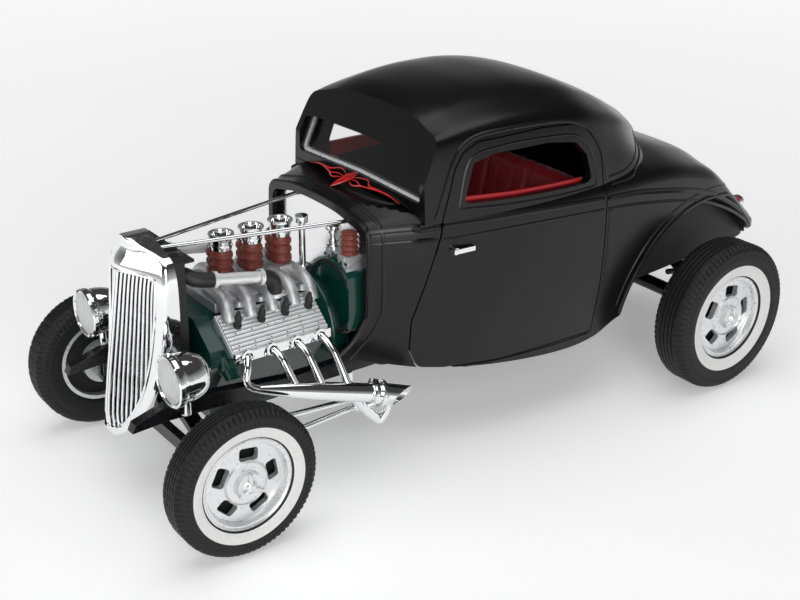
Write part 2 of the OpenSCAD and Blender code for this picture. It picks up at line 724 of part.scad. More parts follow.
// Slotted rim with its hub, outer side towards +x; back is the inner end of the hub
module rim(r, w, pin, back, drum) {
    half = w * 0.36;
    color([0.75, 0.76, 0.78]) rotate([0, 90, 0]) difference() {
        union() {
            rotate_extrude($fn = 96) polygon([
                [r, -half], [r, half], [r - 0.9, half], [r - 1.3, half - 1.2], [r - 1.6, half - 1.6], [3.6, half - 0.6],
                [3.2, half + 1], [0, half + 1], [0, back], [3, back], [3, half - 2.6], [r - 1.8, half - 3],
                [r - 1, half - 3.4], [r - 1, -half]]);
            translate([0, 0, back]) cylinder(r = drum, h = 2.4, $fn = 64);
        }
        for (i = [0:slots - 1]) rotate([0, 0, slot_turn + i * 360 / slots]) translate([r * 0.62, 0, half - 3.4])
            linear_extrude(3.6) offset(r = 0.8, $fn = 16) square([r * 0.2 - 0.8, r * 0.36 - 0.8], center = true);
        translate([0, 0, back - 1]) cylinder(r = pin + run_gap, h = 200, $fn = 48);
    }
    color([0.75, 0.76, 0.78]) rotate([0, 90, 0]) translate([0, 0, half]) cylinder(r = 3.2, h = 1, $fn = 48);
}

front_hub_back = kingpin_x + boss_r + 0.4 + 1.2 + 0.4 - front_tyre_x;
rear_hub_back = plate_x + 1.5 + 0.5 - rear_tyre_x;

module at_wheel(side, front) {
    translate([side * (front ? front_tyre_x : rear_tyre_x), front ? front_y : rear_y, front ? front_tyre_r : rear_tyre_r])
        mirror([side < 0 ? 1 : 0, 0, 0]) children();
}

module tyre_at(side, front) {
    at_wheel(side, front) if (front) tyre(front_tyre_r, front_tyre_w, front_rim_r);
        else tyre(rear_tyre_r, rear_tyre_w, rear_rim_r);
}

module rim_at(side, front) {
    at_wheel(side, front) if (front) rim(front_rim_r, front_tyre_w, spindle_r, front_hub_back, 6);
        else rim(rear_rim_r, rear_tyre_w, stub_r, rear_hub_back, 6.5);
}

// ---------- front end ----------

// Grille shell: half width, and how far its edge and its ridge lie ahead of the axle, by height
shell_half = [[17.6, 2], [19, 4.4], [22, 7.6], [26, 10], [31.5, 12], [40, 13.6], [48, 14.4], [56, 14.7],
              [61, 14.4], [64, 13.2], [65.8, 10.6], [66.8, 7]];
shell_edge = [[17.6, -13.6], [22, -11.8], [31, -9.4], [45, -8], [61, -6.8], [66.8, -6.2]];
shell_ridge = [[17.6, -14.4], [21, -16], [31, -15.1], [45, -12.8], [61, -9.8], [66.8, -7.6]];
shell_back = -3.2;
shell_rim = 3;
shell_steps = [17.6, 18.6, 20, 21.5, 24, 27, 31, 37, 44, 50, 56, 60, 62.5, 64.4, 65.8, 66.8];

// Level slice of the grille shell at height z, drawn in by t and pushed back by b
function shell_slice(z, t, b) =
    let (w = along(shell_half, z) - t, e = along(shell_edge, z) + b, r = along(shell_ridge, z) + b)
    [[w, shell_back + (t > 0 ? 6 : 0), z], [w, e, z], [w * 0.5, (e + r) / 2 - 0.5, z], [0, r, z],
     [-w * 0.5, (e + r) / 2 - 0.5, z], [-w, e, z], [-w, shell_back + (t > 0 ? 6 : 0), z]];

module grille_shell() {
    color([0.85, 0.85, 0.87]) translate([0, front_y, 0]) meshed() difference() {
        skin([for (z = shell_steps) shell_slice(z, 0, 0)]);
        shell_opening();
    }
}

bars = 11;
bar_pitch = 1.04;

// Upright bars of the grille, each following the bend of the shell
module shell_opening() {
    skin([for (z = shell_steps) if (z > 20 && z < 64) shell_slice(z, shell_rim, -4)]);
}

module grille_bars() {
    color([0.85, 0.85, 0.87]) translate([0, front_y, 0]) for (side = [-1, 1]) for (i = [0:bars - 1]) intersection() {
        shell_opening();
        let (x = side * (0.6 + i * bar_pitch), lo = bar_foot(abs(x)), hi = bar_top(abs(x)),
             zs = [for (k = [0:6]) lo + (hi - lo) * k / 6])
        skin([for (z = zs) let (y = bar_y(abs(x), z))
            [[x + 0.28, y + 1.4, z], [x + 0.28, y, z], [x - 0.28, y, z], [x - 0.28, y + 1.4, z]]]);
    }
}

function bar_y(x, z) = let (w = along(shell_half, z), u = min(x / w, 1))
    along(shell_ridge, z) * (1 - u) + along(shell_edge, z) * u + 0.5;
function bar_foot(x) = 20.5 + x * x * 0.09;
function bar_top(x) = 63.6 - x * x * 0.012;

rad_half = 12;
rad_top = 64;

rad_foot = 31.02;

module radiator_core() {
    translate([-rad_half, front_y - 3.1, rad_foot]) cube([2 * rad_half, 6, rad_top - rad_foot]);
}

module radiator() {
    color([0.05, 0.05, 0.05]) {
        radiator_core();
        translate([-rad_half, front_y - 3.1, rad_top - 0.8]) cube([2 * rad_half, 8.6, 0.8]);
    }
}

module support_rods() {
    color([0.85, 0.85, 0.87]) for (side = [-1, 1])
        bar([side * 2.2, front_y + 1, rad_top + 0.7], [side * 13, rear_y + firewall_s - 0.05, 64.5], 0.55, 20);
}

lamp_x = 23.5;
lamp_z = 40.4;
lamp_y = -9.2;
lamp_r = 6.6;

module headlights() {
    color([0.85, 0.85, 0.87]) for (side = [-1, 1]) translate([side * lamp_x, front_y + lamp_y, lamp_z])
        rotate([-90, 0, 0]) rotate_extrude($fn = 72) polygon(concat(
            [[0, 0]], [[lamp_r - 0.6, 0.3], [lamp_r, 0.6], [lamp_r, 1.6]],
            smooth([[lamp_r - 0.3, 2], [lamp_r - 0.6, 7], [3.4, 10], [0, 10.6]], 5)));
}

module headlight_stands() {
    color([0.85, 0.85, 0.87]) translate([0, front_y, 0]) for (side = [-1, 1]) {
        bar([side * (rail_x + rail_w / 2 + 0.2), -4.6, 29.6], [side * lamp_x, -4.6, 30.6], 0.9);
        translate([side * lamp_x, -4.6, 30.4]) cylinder(r = 0.9, h = lamp_z - lamp_r - 30.4 + 0.4, $fn = 24);
    }
}

// ---------- engine, placed at the middle of the heads ----------

module at_engine() {
    translate([0, rear_y + engine_s, 0]) children();
}

// Sloping face of the block on which each head sits
head_low = [19, 39];
head_high = [10.4, 46.2];
head_t = 2.4;
head_front = -head_l / 2;
block_front = -18.5;
block_back = 14.4;

module block_outline() {
    half = [[7, 17], [8.5, 24], [13, 30], [17, 35.5], head_low, head_high, [7, 47]];
    polygon(concat(half, [for (i = [len(half) - 1:-1:0]) [-half[i][0], half[i][1]]]));
}

module block_body() {
    translate([0, block_back, 0]) rotate([90, 0, 0]) linear_extrude(block_back - block_front - 4) block_outline();
}

module engine_block() {
    color([0.02, 0.2, 0.14]) at_engine() {
        block_body();
        translate([0, block_front + 4.001, 0]) rotate([90, 0, 0]) linear_extrude(4)
            polygon([[5, 24], [12, 31], [17, 36.5], [17, 41], [9, 47], [-9, 47], [-17, 41], [-17, 36.5], [-12, 31],
                     [-5, 24]]);
    }
}

module head_block() {
    d = head_low - head_high;
    a = atan2(-d[1], d[0]);
    translate([head_high[0], 0, head_high[1]]) rotate([0, a, 0])
        translate([-0.2, head_front, 0]) cube([norm(d) + 0.4, head_l, head_t]);
}

module cylinder_heads() {
    color([0.8, 0.8, 0.82]) at_engine() for (side = [-1, 1]) mirror([side < 0 ? 1 : 0, 0, 0]) head_block();
}

lobe_x = 1.3;
horn_mid = 3.15;
horns = [horn_mid - horn_pitch, horn_mid, horn_mid + horn_pitch];
deck_z = 49.8;
throttle_z = 52.8;
neck_z = 48.6;
horn_z = 60.2;
horn_top = 64.5;

module intake_manifold() {
    color([0.6, 0.61, 0.63]) at_engine() {
        translate([-9.5, -12.5, 47]) cube([19, 27.5, deck_z - 47]);
        for (y = horns) translate([-5, y - 2.6, deck_z]) cube([10, 5.2, throttle_z - deck_z]);
        for (side = [0, 1]) mirror([side, 0, 0]) difference() {
            translate([12.9, 2.6, 44.4]) cylinder(r = 2, h = neck_z - 44.4, $fn = 32);
            head_block();
            translate([0, 0, -2]) head_block();
            block_body();
        }
    }
}

module throttle_bodies() {
    color([0.36, 0.11, 0.08]) at_engine() for (y = horns) translate([0, y, throttle_z]) for (x = [-lobe_x, lobe_x])
        translate([x, 0, 0]) {
            cylinder(r = 2.4, h = horn_z - throttle_z, $fn = 32);
            for (k = [0:2]) translate([0, 0, 0.6 + k * 2.3]) cylinder(r = 2.8, h = 1.1, $fn = 32);
        }
}

module intake_horns() {
    color([0.88, 0.88, 0.9]) at_engine() for (y = horns) translate([lobe_x, y, horn_z]) difference() {
        union() {
            cylinder(r = 2.6, h = 2.4, $fn = 40);
            translate([0, 0, 2.4]) cylinder(r1 = 2.6, r2 = 3.3, h = horn_top - horn_z - 2.4, $fn = 40);
        }
        translate([0, 0, 1]) cylinder(r1 = 1.6, r2 = 2.8, h = horn_top - horn_z, $fn = 40);
    }
}

module fuel_pump() {
    color([0.88, 0.88, 0.9]) at_engine() difference() {
        translate([3, 17.2, 47]) {
            cylinder(r = 1.6, h = 4, $fn = 32);
            cylinder(r = 0.9, h = 16, $fn = 32);
            translate([0, 0, 16]) cylinder(r = 1.7, h = 1.8, $fn = 32);
        }
        bell_shape();
    }
}

bell_r = 16;
bell_front = block_back;
bell_back = firewall_s - engine_s;

module bell_shape() {
    translate([0, 0, crank_z]) rotate([-90, 0, 0]) rotate_extrude($fn = 90)
        polygon([[0, bell_front], [12, bell_front], [bell_r, bell_front + 4], [bell_r, bell_back - 3],
                 [bell_r - 3, bell_back - 0.2], [0, bell_back - 0.2]]);
}

module bell_housing() {
    color([0.02, 0.2, 0.14]) at_engine() bell_shape();
}

drum_r = 10.4;
drum_x = 13.5;
drum_z = 45.3;
drum_front = bell_front + 4.6;
drum_side = 21;
casting_top = 57.4;

// Round cover beside the bell, with a casting on top that carries a column and an intake boot
module bell_cover() {
    back = bell_back - 0.2;
    color([0.02, 0.2, 0.14]) at_engine() {
        difference() {
            intersection() {
                union() {
                    translate([drum_x, drum_front, drum_z]) rotate([-90, 0, 0])
                        cylinder(r = drum_r, h = back - drum_front, $fn = 72);
                    translate([8.4, drum_front + 0.8, 50]) cube([11.2, back - drum_front - 0.8, casting_top - 50]);
                }
                translate([0, 0, 30]) cube([drum_side, 60, 60]);
            }
            translate([0, 0, crank_z]) rotate([-90, 0, 0]) cylinder(r = bell_r + 0.1, h = 60, $fn = 90);
        }
        translate([10.4, drum_front + 3, casting_top]) cylinder(r = 1.3, h = 5, $fn = 32);
        translate([10.4, drum_front + 3, casting_top + 5]) cylinder(r = 2, h = 1.2, $fn = 32);
        translate([16.8, drum_front + 3.7, casting_top]) cylinder(r = 2.3, h = 6, $fn = 32);
    }
}

module radiator_hoses() {
    back = front_y + 3;
    color([0.2, 0.2, 0.2]) meshed() for (side = [-1, 1]) difference() {
        union() {
            tube([[side * 8.5, back, 59.4], [side * 11, back + 3, 58.2], [side * 12, back + 7.4, 57.4]], 1.9, 14);
            bar([side * 12, back + 7.4, 57.4], [side * 12.4, rear_y + engine_s - 1, 55.2], 1.5, 14);
            tube([[side * 12.4, rear_y + engine_s - 1, 55.2], [side * 12.9, rear_y + engine_s + 2, 53.6],
                  [side * 12.9, rear_y + engine_s + 2.6, neck_z + 0.3]], 1.9, 14);
        }
        radiator_core();
        translate([side * 12.9 - 3, rear_y + engine_s, neck_z - 3]) cube([6, 6, 3]);
    }
}

flange_x = 20.4;
port_z = 39.6;
pipe_a = [25.6, -11, 32.6];
pipe_b = [32.4, 20, 24.9];
pipe_end = [34.8, 30.8, 21.4];

// Four ports into one side pipe, with a clamp, a cut-off cone and a turned-down branch
module header(side) {
    color([0.88, 0.88, 0.9]) at_engine() mirror([side < 0 ? 1 : 0, 0, 0]) meshed() difference() {
        union() {
            translate([flange_x - 0.4, head_front, port_z - 1.4]) cube([1.2, head_l, 2.4]);
            for (i = [0:3]) {
                y = (i - 1.5) * port_pitch;
                join = pipe_a + (pipe_b - pipe_a) * (i == 0 ? 0 : 0.12 + 0.22 * i);
                tube([[flange_x, y, port_z], [flange_x + 2.2, y + 0.6, port_z - 1], join], 1.25, 10);
            }
            bar(pipe_a, pipe_b, pipe_r - 0.5, 20);
            translate(pipe_a) sphere(r = pipe_r - 0.5, $fn = 20);
            bar(pipe_b - [0, 0.4, -0.1], pipe_end, pipe_r, 24);
            bar(pipe_b - [0.3, 1.6, -0.4], pipe_b + [0.3, 1.6, -0.4], pipe_r + 0.7, 24);
            tube([pipe_a + (pipe_b - pipe_a) * 0.86, [31, 19.4, 16.8], [32.4, 23, 16.4], pipe_b + [1, 5.4, -1.6]], 1.1,
                 10);
        }
        bar(pipe_b + (pipe_end - pipe_b) * 0.3, pipe_end + (pipe_end - pipe_b) * 0.2, pipe_r - 0.7, 24);
        head_block();
    }
}

frame_rail(1);  // frame_rail_left
frame_rail(-1);  // frame_rail_right
crossmembers();
floor_pan();
front_axle();
front_spring();
radius_rods();
rear_axle();
rear_spring();
drive_shaft();
knuckle(1);  // knuckle_left
knuckle(-1);  // knuckle_right
tie_rod();
tyre_at(1, true);  // tyre_front_left
tyre_at(-1, true);  // tyre_front_right
tyre_at(1, false);  // tyre_rear_left
tyre_at(-1, false);  // tyre_rear_right
rim_at(1, true);  // wheel_front_left
rim_at(-1, true);  // wheel_front_right
rim_at(1, false);  // wheel_rear_left
rim_at(-1, false);  // wheel_rear_right
cowl();
roof();
rear_body();
trunk_floor();
firewall();
dashboard();
bench_seat();
steering_wheel();
windshield_frame();
windshield_glass();
rear_glass();
door(1);  // door_left
door(-1);  // door_right
door_handle(1);  // door_handle_left
door_handle(-1);  // door_handle_right
decklid();
tail_lights();
grille_shell();
grille_bars();
radiator();
support_rods();
headlights();
headlight_stands();
engine_block();
cylinder_heads();
intake_manifold();
throttle_bodies();
intake_horns();
fuel_pump();
bell_housing();
bell_cover();
radiator_hoses();
header(1);  // header_left
header(-1);  // header_right
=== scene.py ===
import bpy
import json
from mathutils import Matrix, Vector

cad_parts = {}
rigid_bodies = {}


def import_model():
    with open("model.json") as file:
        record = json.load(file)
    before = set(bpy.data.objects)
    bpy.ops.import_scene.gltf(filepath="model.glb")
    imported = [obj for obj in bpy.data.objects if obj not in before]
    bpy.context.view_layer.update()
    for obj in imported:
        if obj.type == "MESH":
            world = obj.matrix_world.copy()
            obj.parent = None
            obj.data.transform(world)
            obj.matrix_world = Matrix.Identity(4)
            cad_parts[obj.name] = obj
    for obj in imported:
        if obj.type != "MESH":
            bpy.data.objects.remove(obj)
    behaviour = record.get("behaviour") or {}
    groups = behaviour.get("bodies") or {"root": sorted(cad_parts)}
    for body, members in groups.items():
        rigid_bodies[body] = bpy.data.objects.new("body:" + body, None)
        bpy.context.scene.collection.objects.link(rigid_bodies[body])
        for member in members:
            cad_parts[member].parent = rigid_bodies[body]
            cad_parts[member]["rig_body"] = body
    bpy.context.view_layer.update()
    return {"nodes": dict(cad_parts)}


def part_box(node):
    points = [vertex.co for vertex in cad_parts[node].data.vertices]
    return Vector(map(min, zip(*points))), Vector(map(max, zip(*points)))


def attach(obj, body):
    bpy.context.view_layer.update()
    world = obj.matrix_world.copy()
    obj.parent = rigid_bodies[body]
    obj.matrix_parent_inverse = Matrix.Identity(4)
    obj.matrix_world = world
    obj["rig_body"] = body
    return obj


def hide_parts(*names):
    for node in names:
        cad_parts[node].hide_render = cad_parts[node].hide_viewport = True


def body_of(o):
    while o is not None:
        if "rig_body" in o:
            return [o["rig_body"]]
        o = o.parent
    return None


bl_info = {
    "name": "Scale Model Hot Rod Coupe",
    "version": (1, 0, 0),
    "blender": (4, 5, 0),
    "location": "3D View > Sidebar > Hot Rod",
    "description": "Adds the finished panels, trim, wheels and engine of a chopped three-window coupe",
    "category": "Add Mesh",
}

import json
from math import atan2, cos, hypot, pi, radians, sin, tan

import bmesh
import bpy
from mathutils import Matrix, Vector

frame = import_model()

MM = 0.001
UP = (0, 0, 1)
BACK = (0, 1, 0)
CUT, MEET, ADD = "DIFFERENCE", "INTERSECT", "UNION"
SIDES = (("left", 1), ("right", -1))
FRONT_Y = sum(corner[1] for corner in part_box("tyre_front_left")) / 2 / MM
REAR_Y = sum(corner[1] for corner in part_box("tyre_rear_left")) / 2 / MM
BODY_HALF = 37.6
ROOF_H = 95.3
BELT_Z = 66
GAP = 0.35
WALL = 2.0
DOOR_WALL = 2.4
HINGE_S = -41
DOOR_FOOT = 24.4
DOOR_HEAD = 83.6
RAKE = 0.39
GLASS_S = -96.3
GLASS_Z = 70.9
REAR_AXLE_Z = 22.3
ENGINE_Y = -63.5


# ---------- curves ----------

def bend(a, b, c, t):
    """Point at t on the curve from a to c that is bent towards b."""
    return tuple((1 - t) ** 2 * p + 2 * t * (1 - t) * q + t * t * r for p, q, r in zip(a, b, c))


def smooth(points, steps):
    """Smooth line guided by corner points."""
    line = []
    last = len(points) - 2
    for i in range(1, last + 1):
        here = points[i]
        a = points[0] if i == 1 else [(p + q) / 2 for p, q in zip(points[i - 1], here)]
        c = points[-1] if i == last else [(p + q) / 2 for p, q in zip(here, points[i + 1])]
        line += [bend(a, here, c, k / steps) for k in range(steps)]
    return line + [tuple(points[-1])]


def along(table, s):
    """Value at s of a smooth run through pairs of (place, value)."""
    i = 0
    while i < len(table) - 2 and s >= table[i + 1][0]:
        i += 1

    def slope(j):
        a, b = table[max(j - 1, 0)], table[min(j + 1, len(table) - 1)]
        return (b[1] - a[1]) / (b[0] - a[0])

    h = table[i + 1][0] - table[i][0]
    u = min(max((s - table[i][0]) / h, 0), 1)
    return (table[i][1] * (1 + 2 * u) * (1 - u) ** 2 + slope(i) * h * u * (1 - u) ** 2
            + table[i + 1][1] * u * u * (3 - 2 * u) + slope(i + 1) * h * u * u * (u - 1))


def fillet(points, r, steps=6):
    """Closed outline with its corners rounded to about radius r."""
    out = []
    n = len(points)
    for i in range(n):
        p = Vector(points[i])
        u, v = Vector(points[i - 1]) - p, Vector(points[(i + 1) % n]) - p
        half = u.angle(v) / 2
        t = min(r / max(tan(half), 0.05), 0.45 * u.length, 0.45 * v.length)
        a, c = p + u.normalized() * t, p + v.normalized() * t
        out += [bend(a, p, c, k / steps) for k in range(steps + 1)]
    return out


def grow(points, g):
    """Closed outline moved outwards by g."""
    n = len(points)
    area = sum(points[i - 1][0] * points[i][1] - points[i][0] * points[i - 1][1] for i in range(n))
    turn = 1 if area > 0 else -1
    out = []
    for i in range(n):
        a, p, b = Vector(points[i - 1]), Vector(points[i]), Vector(points[(i + 1) % n])
        u, v = (p - a).normalized(), (b - p).normalized()
        m, k = Vector((u.y, -u.x)) * turn, Vector((v.y, -v.x)) * turn
        w = (m + k) / max(1 + m.dot(k), 0.2)
        out.append(tuple(p + w * g))
    return out


def walk(points, step, closed=False):
    """Points about one step apart on a smooth line through the given ones."""
    pts = [Vector(p) for p in points]
    if closed:
        pts.append(pts[0])
    places = [0.0]
    for a, b in zip(pts, pts[1:]):
        places.append(places[-1] + (b - a).length)
    tables = [[(t, p[k]) for t, p in zip(places, pts)] for k in range(len(pts[0]))]
    n = max(int(places[-1] / step), 2)
    return [tuple(along(tb, places[-1] * i / n) for tb in tables) for i in range(n if closed else n + 1)]


# ---------- body shape: places along the body are measured back from the rear axle ----------

BELT_IN = [(-119, 15), (-110.8, 14), (-104, 11), (-96.5, 7.4), (-87, 4.6), (-74, 2.3), (-59, 0.7), (-44, 0),
           (-29, 0.2), (-14, 1.2), (1, 2.7), (12, 4.1), (24, 6), (29, 7.2), (32, 8.6), (33.6, 10.4), (34.8, 14),
           (35.6, 19), (36, 25)]
FOOT_IN = [(-119, 1.5), (-96, 1.8), (-74, 2.4), (-44, 2.6), (1, 2.4), (26, 1.2), (36, 0.8)]
FOOT_Z = [(-119, 31.2), (-104, 27), (-96, 25.3), (-75, 22), (-52, 20.3), (-40, 21.4), (-32, 24.5), (0, 32),
          (19, 36), (36, 36.3)]
SHOULDER_Z = [(-119, 65), (-104, 65.8), (-90, 66.3), (-30, 66), (-14, 64.9), (1, 62), (8.6, 59.5), (14, 55.8),
              (19, 51), (24, 46.4), (29, 42), (32, 39.8), (34, 38.6), (36, 38)]
CROWN_Z = [(-119, 68.2), (-110.8, 68.6), (-104, 70), (-96, 71.8), (-80, 71.8), (-30, 71.6), (-14, 70.4), (-7, 69.4),
           (1, 67.2), (8.6, 64.6), (14, 62), (19, 59.2), (24, 56.2), (29, 53), (32, 50.2), (34, 47.6), (35.2, 45),
           (36, 42)]
ROLL_R = [(-119, 5), (-12, 5), (6, 7), (18, 9), (30, 9), (36, 5)]
GREEN_IN = [(-99, 7.3), (-92, 6), (-85, 4.6), (-74, 3), (-59, 1.6), (-44, 1.4), (-37, 1.8), (-29, 2.9), (-22, 5),
            (-15, 9.5), (-9, 16), (-5, 23), (-2.5, 31)]
DRIP_IN = [(-99, 9.2), (-92, 8.6), (-85, 7.6), (-74, 6.4), (-59, 5.4), (-50, 5.2), (-44, 5.6), (-37, 6.8), (-29, 9),
           (-22, 12.5), (-15, 17.5), (-9, 23.5), (-5, 29), (-2.5, 33.5)]
DRIP_DOWN = [(-99, 10), (-92, 9), (-85, 8.2), (-74, 7.6), (-59, 8), (-50, 9), (-44, 10), (-37, 12), (-29, 14.8),
             (-22, 17.5), (-15, 20.5), (-9, 23.5), (-5, 25.5), (-2.5, 27)]
CROWN_DOWN = [(-99, 7.5), (-92.4, 5.4), (-89, 3.7), (-84, 2), (-74, 0.4), (-66, 0), (-55, 0.3), (-44, 2.2),
              (-35, 5.6), (-28, 8.8), (-20, 13), (-13, 16.6), (-8, 20.5), (-5, 23.6), (-2.5, 26.4)]
ARCH_SWELL = [(0, -0.4), (34, -0.4), (60, 0), (84, 0.2), (109, 1.4), (117, 2.4), (126, 2), (140, 1.7), (158, 4.4),
              (180, 9)]
ARCH_R = 30.3
DOOR_SWEEP = [(12, 24), (33, 23.4), (50, 24.4), (57.4, 25.6), (59.7, 31), (59.5, 39.5), (55.7, 51.5), (52.2, 63),
              (51.8, 67), (48, 79.2), (45.6, 82.8), (41, 85), (21, 85.6), (7, 84.6)]
DOOR_REAR = [(-42.4, 15), (-42.2, 24), (-41.5, 38), (-41.3, 46), (-41.3, 75.6), (-43.2, 79.4), (-46.6, 83.4),
             (-52, 90), (-130, 90), (-130, 15)]
DOOR_WINDOW = [(-86.7, 70), (-83.4, 79.9), (-77, 81.6), (-60, 81.7), (-50.5, 80.3), (-46.8, 76.4), (-45.4, 69.6),
               (-48, 68.8), (-70, 69.2)]
COWL_SPLIT = [(-140, -5), (-94, -5), (-94, 33), (-90, 37), (-90, 66), (-97.6, 66), (-97.6, 110), (-140, 110)]
ROOF_SPLIT = [(-97.6, 66), (-30, 66), (-20, 69), (-12, 71.5), (-5, 73), (2, 73.4), (2, 110), (-97.6, 110)]
NOSE_CUT = [(-140, 110), (-110.8, 110), (-110.8, 41), (-112.8, 37), (-115.8, 33.4), (-118.6, 31.2), (-118.6, 15),
            (-140, 15)]
SMOOTH_STEPS = 12


def windshield_at(z):
    return GLASS_S + RAKE * (z - GLASS_Z), z


def side_x(s):
    return BODY_HALF - along(BELT_IN, s)


def lower_half(s, t):
    """Half outline of the lower body at s, from the foot to the crown; t is the wall left off."""
    x = side_x(s) - t
    f = side_x(s) - along(FOOT_IN, s) - t
    b = along(FOOT_Z, s) - (8 if t > 0 else 0)
    h = along(SHOULDER_Z, s) - t * 0.8
    c = along(CROWN_Z, s) - t
    r = min(along(ROLL_R, s), x * 0.4)
    k = max(h - r * 0.9, b + (h - b) * 0.7)
    return smooth([(f, b), (f + (x - f) * 0.6, b + (h - b) * 0.22), (x, b + (h - b) * 0.55), (x, k),
                   (x - r * 0.15, h + (c - h) * 0.1), (x - r * 1.3, h + (c - h) * 0.5), (x * 0.42, c), (0, c)],
                  SMOOTH_STEPS)


def green_half(s, t):
    """Half outline of the greenhouse at s."""
    g = BODY_HALF - along(GREEN_IN, s) - t
    d = BODY_HALF - along(DRIP_IN, s) - t
    e = ROOF_H - along(DRIP_DOWN, s) - t * 0.8
    c = ROOF_H - along(CROWN_DOWN, s) - t
    return smooth([(g, BELT_Z - 8), (g, BELT_Z), (d + 0.7, e - 3), (d - 0.6, e + 0.6), (d * 0.86, e + (c - e) * 0.4),
                   (d * 0.5, c), (0, c)], SMOOTH_STEPS)


def side_point(s, z):
    """Point on the outer skin of the left side at s and z, with the outward normal."""

    def reach(s, z):
        best = 0
        for half in ((lower_half(s, 0),) + ((green_half(s, 0),) if -99 < s < -2.5 else ())):
            for (x0, z0), (x1, z1) in zip(half, half[1:]):
                if min(z0, z1) <= z <= max(z0, z1) and z0 != z1:
                    best = max(best, x0 + (x1 - x0) * (z - z0) / (z1 - z0))
        return best

    x = reach(s, z)
    e = 0.4
    ds = (reach(s + e, z) - reach(s - e, z)) / (2 * e)
    dz = (reach(s, z + e) - reach(s, z - e)) / (2 * e)
    ds, dz = max(min(ds, 3), -3), max(min(dz, 3), -3)
    return Vector((x, s + REAR_Y, z)), Vector((1, -ds, -dz)).normalized()


# ---------- mesh tools ----------

def mesh_from(bm, name="work"):
    mesh = bpy.data.meshes.new(name)
    bm.to_mesh(mesh)
    bm.free()
    return mesh


def lattice(rows, columns, place, wrap=False):
    """Grid of faces with each vertex put at place(row, column); wrap closes it across its columns."""
    bm = bmesh.new()
    across = columns if wrap else columns - 1
    bmesh.ops.create_grid(bm, x_segments=rows - 1, y_segments=across, size=1)
    for v in bm.verts:
        i = round((v.co.x + 1) / 2 * (rows - 1))
        j = round((v.co.y + 1) / 2 * across)
        v.co = place(i, j % columns)
    bmesh.ops.remove_doubles(bm, verts=bm.verts, dist=1e-5)
    return bm


def close(bm):
    """Fills open ends and turns every face outwards."""
    edges = [e for e in bm.edges if e.is_boundary]
    if edges:
        bmesh.ops.holes_fill(bm, edges=edges, sides=0)
    bmesh.ops.recalc_face_normals(bm, faces=bm.faces)
    return bm


def mirrored(half):
    """Ring made of a half line of points and its mirror image, which share the last point."""
    return half + [(-x, y, z) for x, y, z in half[-2::-1]]


def skinned(rings):
    """Solid skinned over closed rings of points."""
    return mesh_from(close(lattice(len(rings), len(rings[0]), lambda i, j: rings[i][j], wrap=True)))


def loft(stations, half):
    """Solid skinned over mirrored half outlines across the body."""
    return skinned([mirrored([(x, s + REAR_Y, z) for x, z in half(s)]) for s in stations])


def slab(outline, place, depth):
    """Solid made by extruding a flat outline; place(u, v) gives its points, depth is a vector."""
    bm = bmesh.new()
    face = bmesh.ops.contextual_create(bm, geom=[bm.verts.new(place(u, v)) for u, v in outline])["faces"]
    moved = bmesh.ops.extrude_face_region(bm, geom=face)["geom"]
    bmesh.ops.translate(bm, verts=[g for g in moved if isinstance(g, bmesh.types.BMVert)], vec=depth)
    bmesh.ops.recalc_face_normals(bm, faces=bm.faces)
    return mesh_from(bm)


def side_prism(outline, a=-60, b=60):
    """Solid with the given outline in side view, from a to b across the car."""
    return slab(outline, lambda s, z: (a, s + REAR_Y, z), (b - a, 0, 0))


def box(low, high):
    bm = bmesh.new()
    bmesh.ops.create_cube(bm, size=1)
    for v in bm.verts:
        v.co = [lo + (hi - lo) * (c + 0.5) for c, lo, hi in zip(v.co, low, high)]
    return mesh_from(bm)


def lathe(profile, axis, centre, steps=96, closed=False):
    """Turned shape: profile holds (radius, along the axis) pairs."""
    rot = Vector((0, 0, 1)).rotation_difference(Vector(axis)).to_matrix().to_4x4()
    bm = bmesh.new()
    verts = [bm.verts.new((r, 0, h)) for r, h in profile]
    pairs = list(zip(verts, verts[1:])) + ([(verts[-1], verts[0])] if closed else [])
    edges = [bm.edges.new(p) for p in pairs]
    bmesh.ops.spin(bm, geom=verts + edges, axis=(0, 0, 1), cent=(0, 0, 0), angle=2 * pi, steps=steps, use_merge=True)
    bmesh.ops.remove_doubles(bm, verts=bm.verts, dist=1e-4)
    bmesh.ops.recalc_face_normals(bm, faces=bm.faces)
    bmesh.ops.transform(bm, matrix=Matrix.Translation(centre) @ rot, verts=bm.verts)
    return bm


def tube(points, radius, closed=False, sides=4, radii=None):
    """Round tube along a line of points, with capped ends."""
    curve = bpy.data.curves.new("run", "CURVE")
    curve.dimensions = "3D"
    curve.bevel_depth = radius
    curve.bevel_resolution = sides
    curve.use_fill_caps = not closed
    line = curve.splines.new("POLY")
    line.points.add(len(points) - 1)
    for i, (p, q) in enumerate(zip(line.points, points)):
        p.co = (*q, 1)
        p.radius = radii[i] if radii else 1
    line.use_cyclic_u = closed
    obj = bpy.data.objects.new("run", curve)
    mesh = bpy.data.meshes.new_from_object(obj)
    bpy.data.objects.remove(obj)
    bpy.data.curves.remove(curve)
    bm = bmesh.new()
    bm.from_mesh(mesh)
    bpy.data.meshes.remove(mesh)
    bmesh.ops.remove_doubles(bm, verts=bm.verts, dist=1e-5)
    bmesh.ops.recalc_face_normals(bm, faces=bm.faces)
    return bm


def joined(*parts):
    """One bmesh of several meshes or bmeshes."""
    bm = bmesh.new()
    for p in parts:
        mesh = p if isinstance(p, bpy.types.Mesh) else mesh_from(p)
        bm.from_mesh(mesh)
    return bm


def painted(bm, index):
    """Gives every face the finish of that index."""
    for f in bm.faces:
        f.material_index = index
    return bm


def round_edges(bm, edges, width):
    bmesh.ops.bevel(bm, geom=edges, offset=width, offset_type="OFFSET", segments=2, profile=0.5, affect="EDGES",
                    clamp_overlap=True, material=-1)


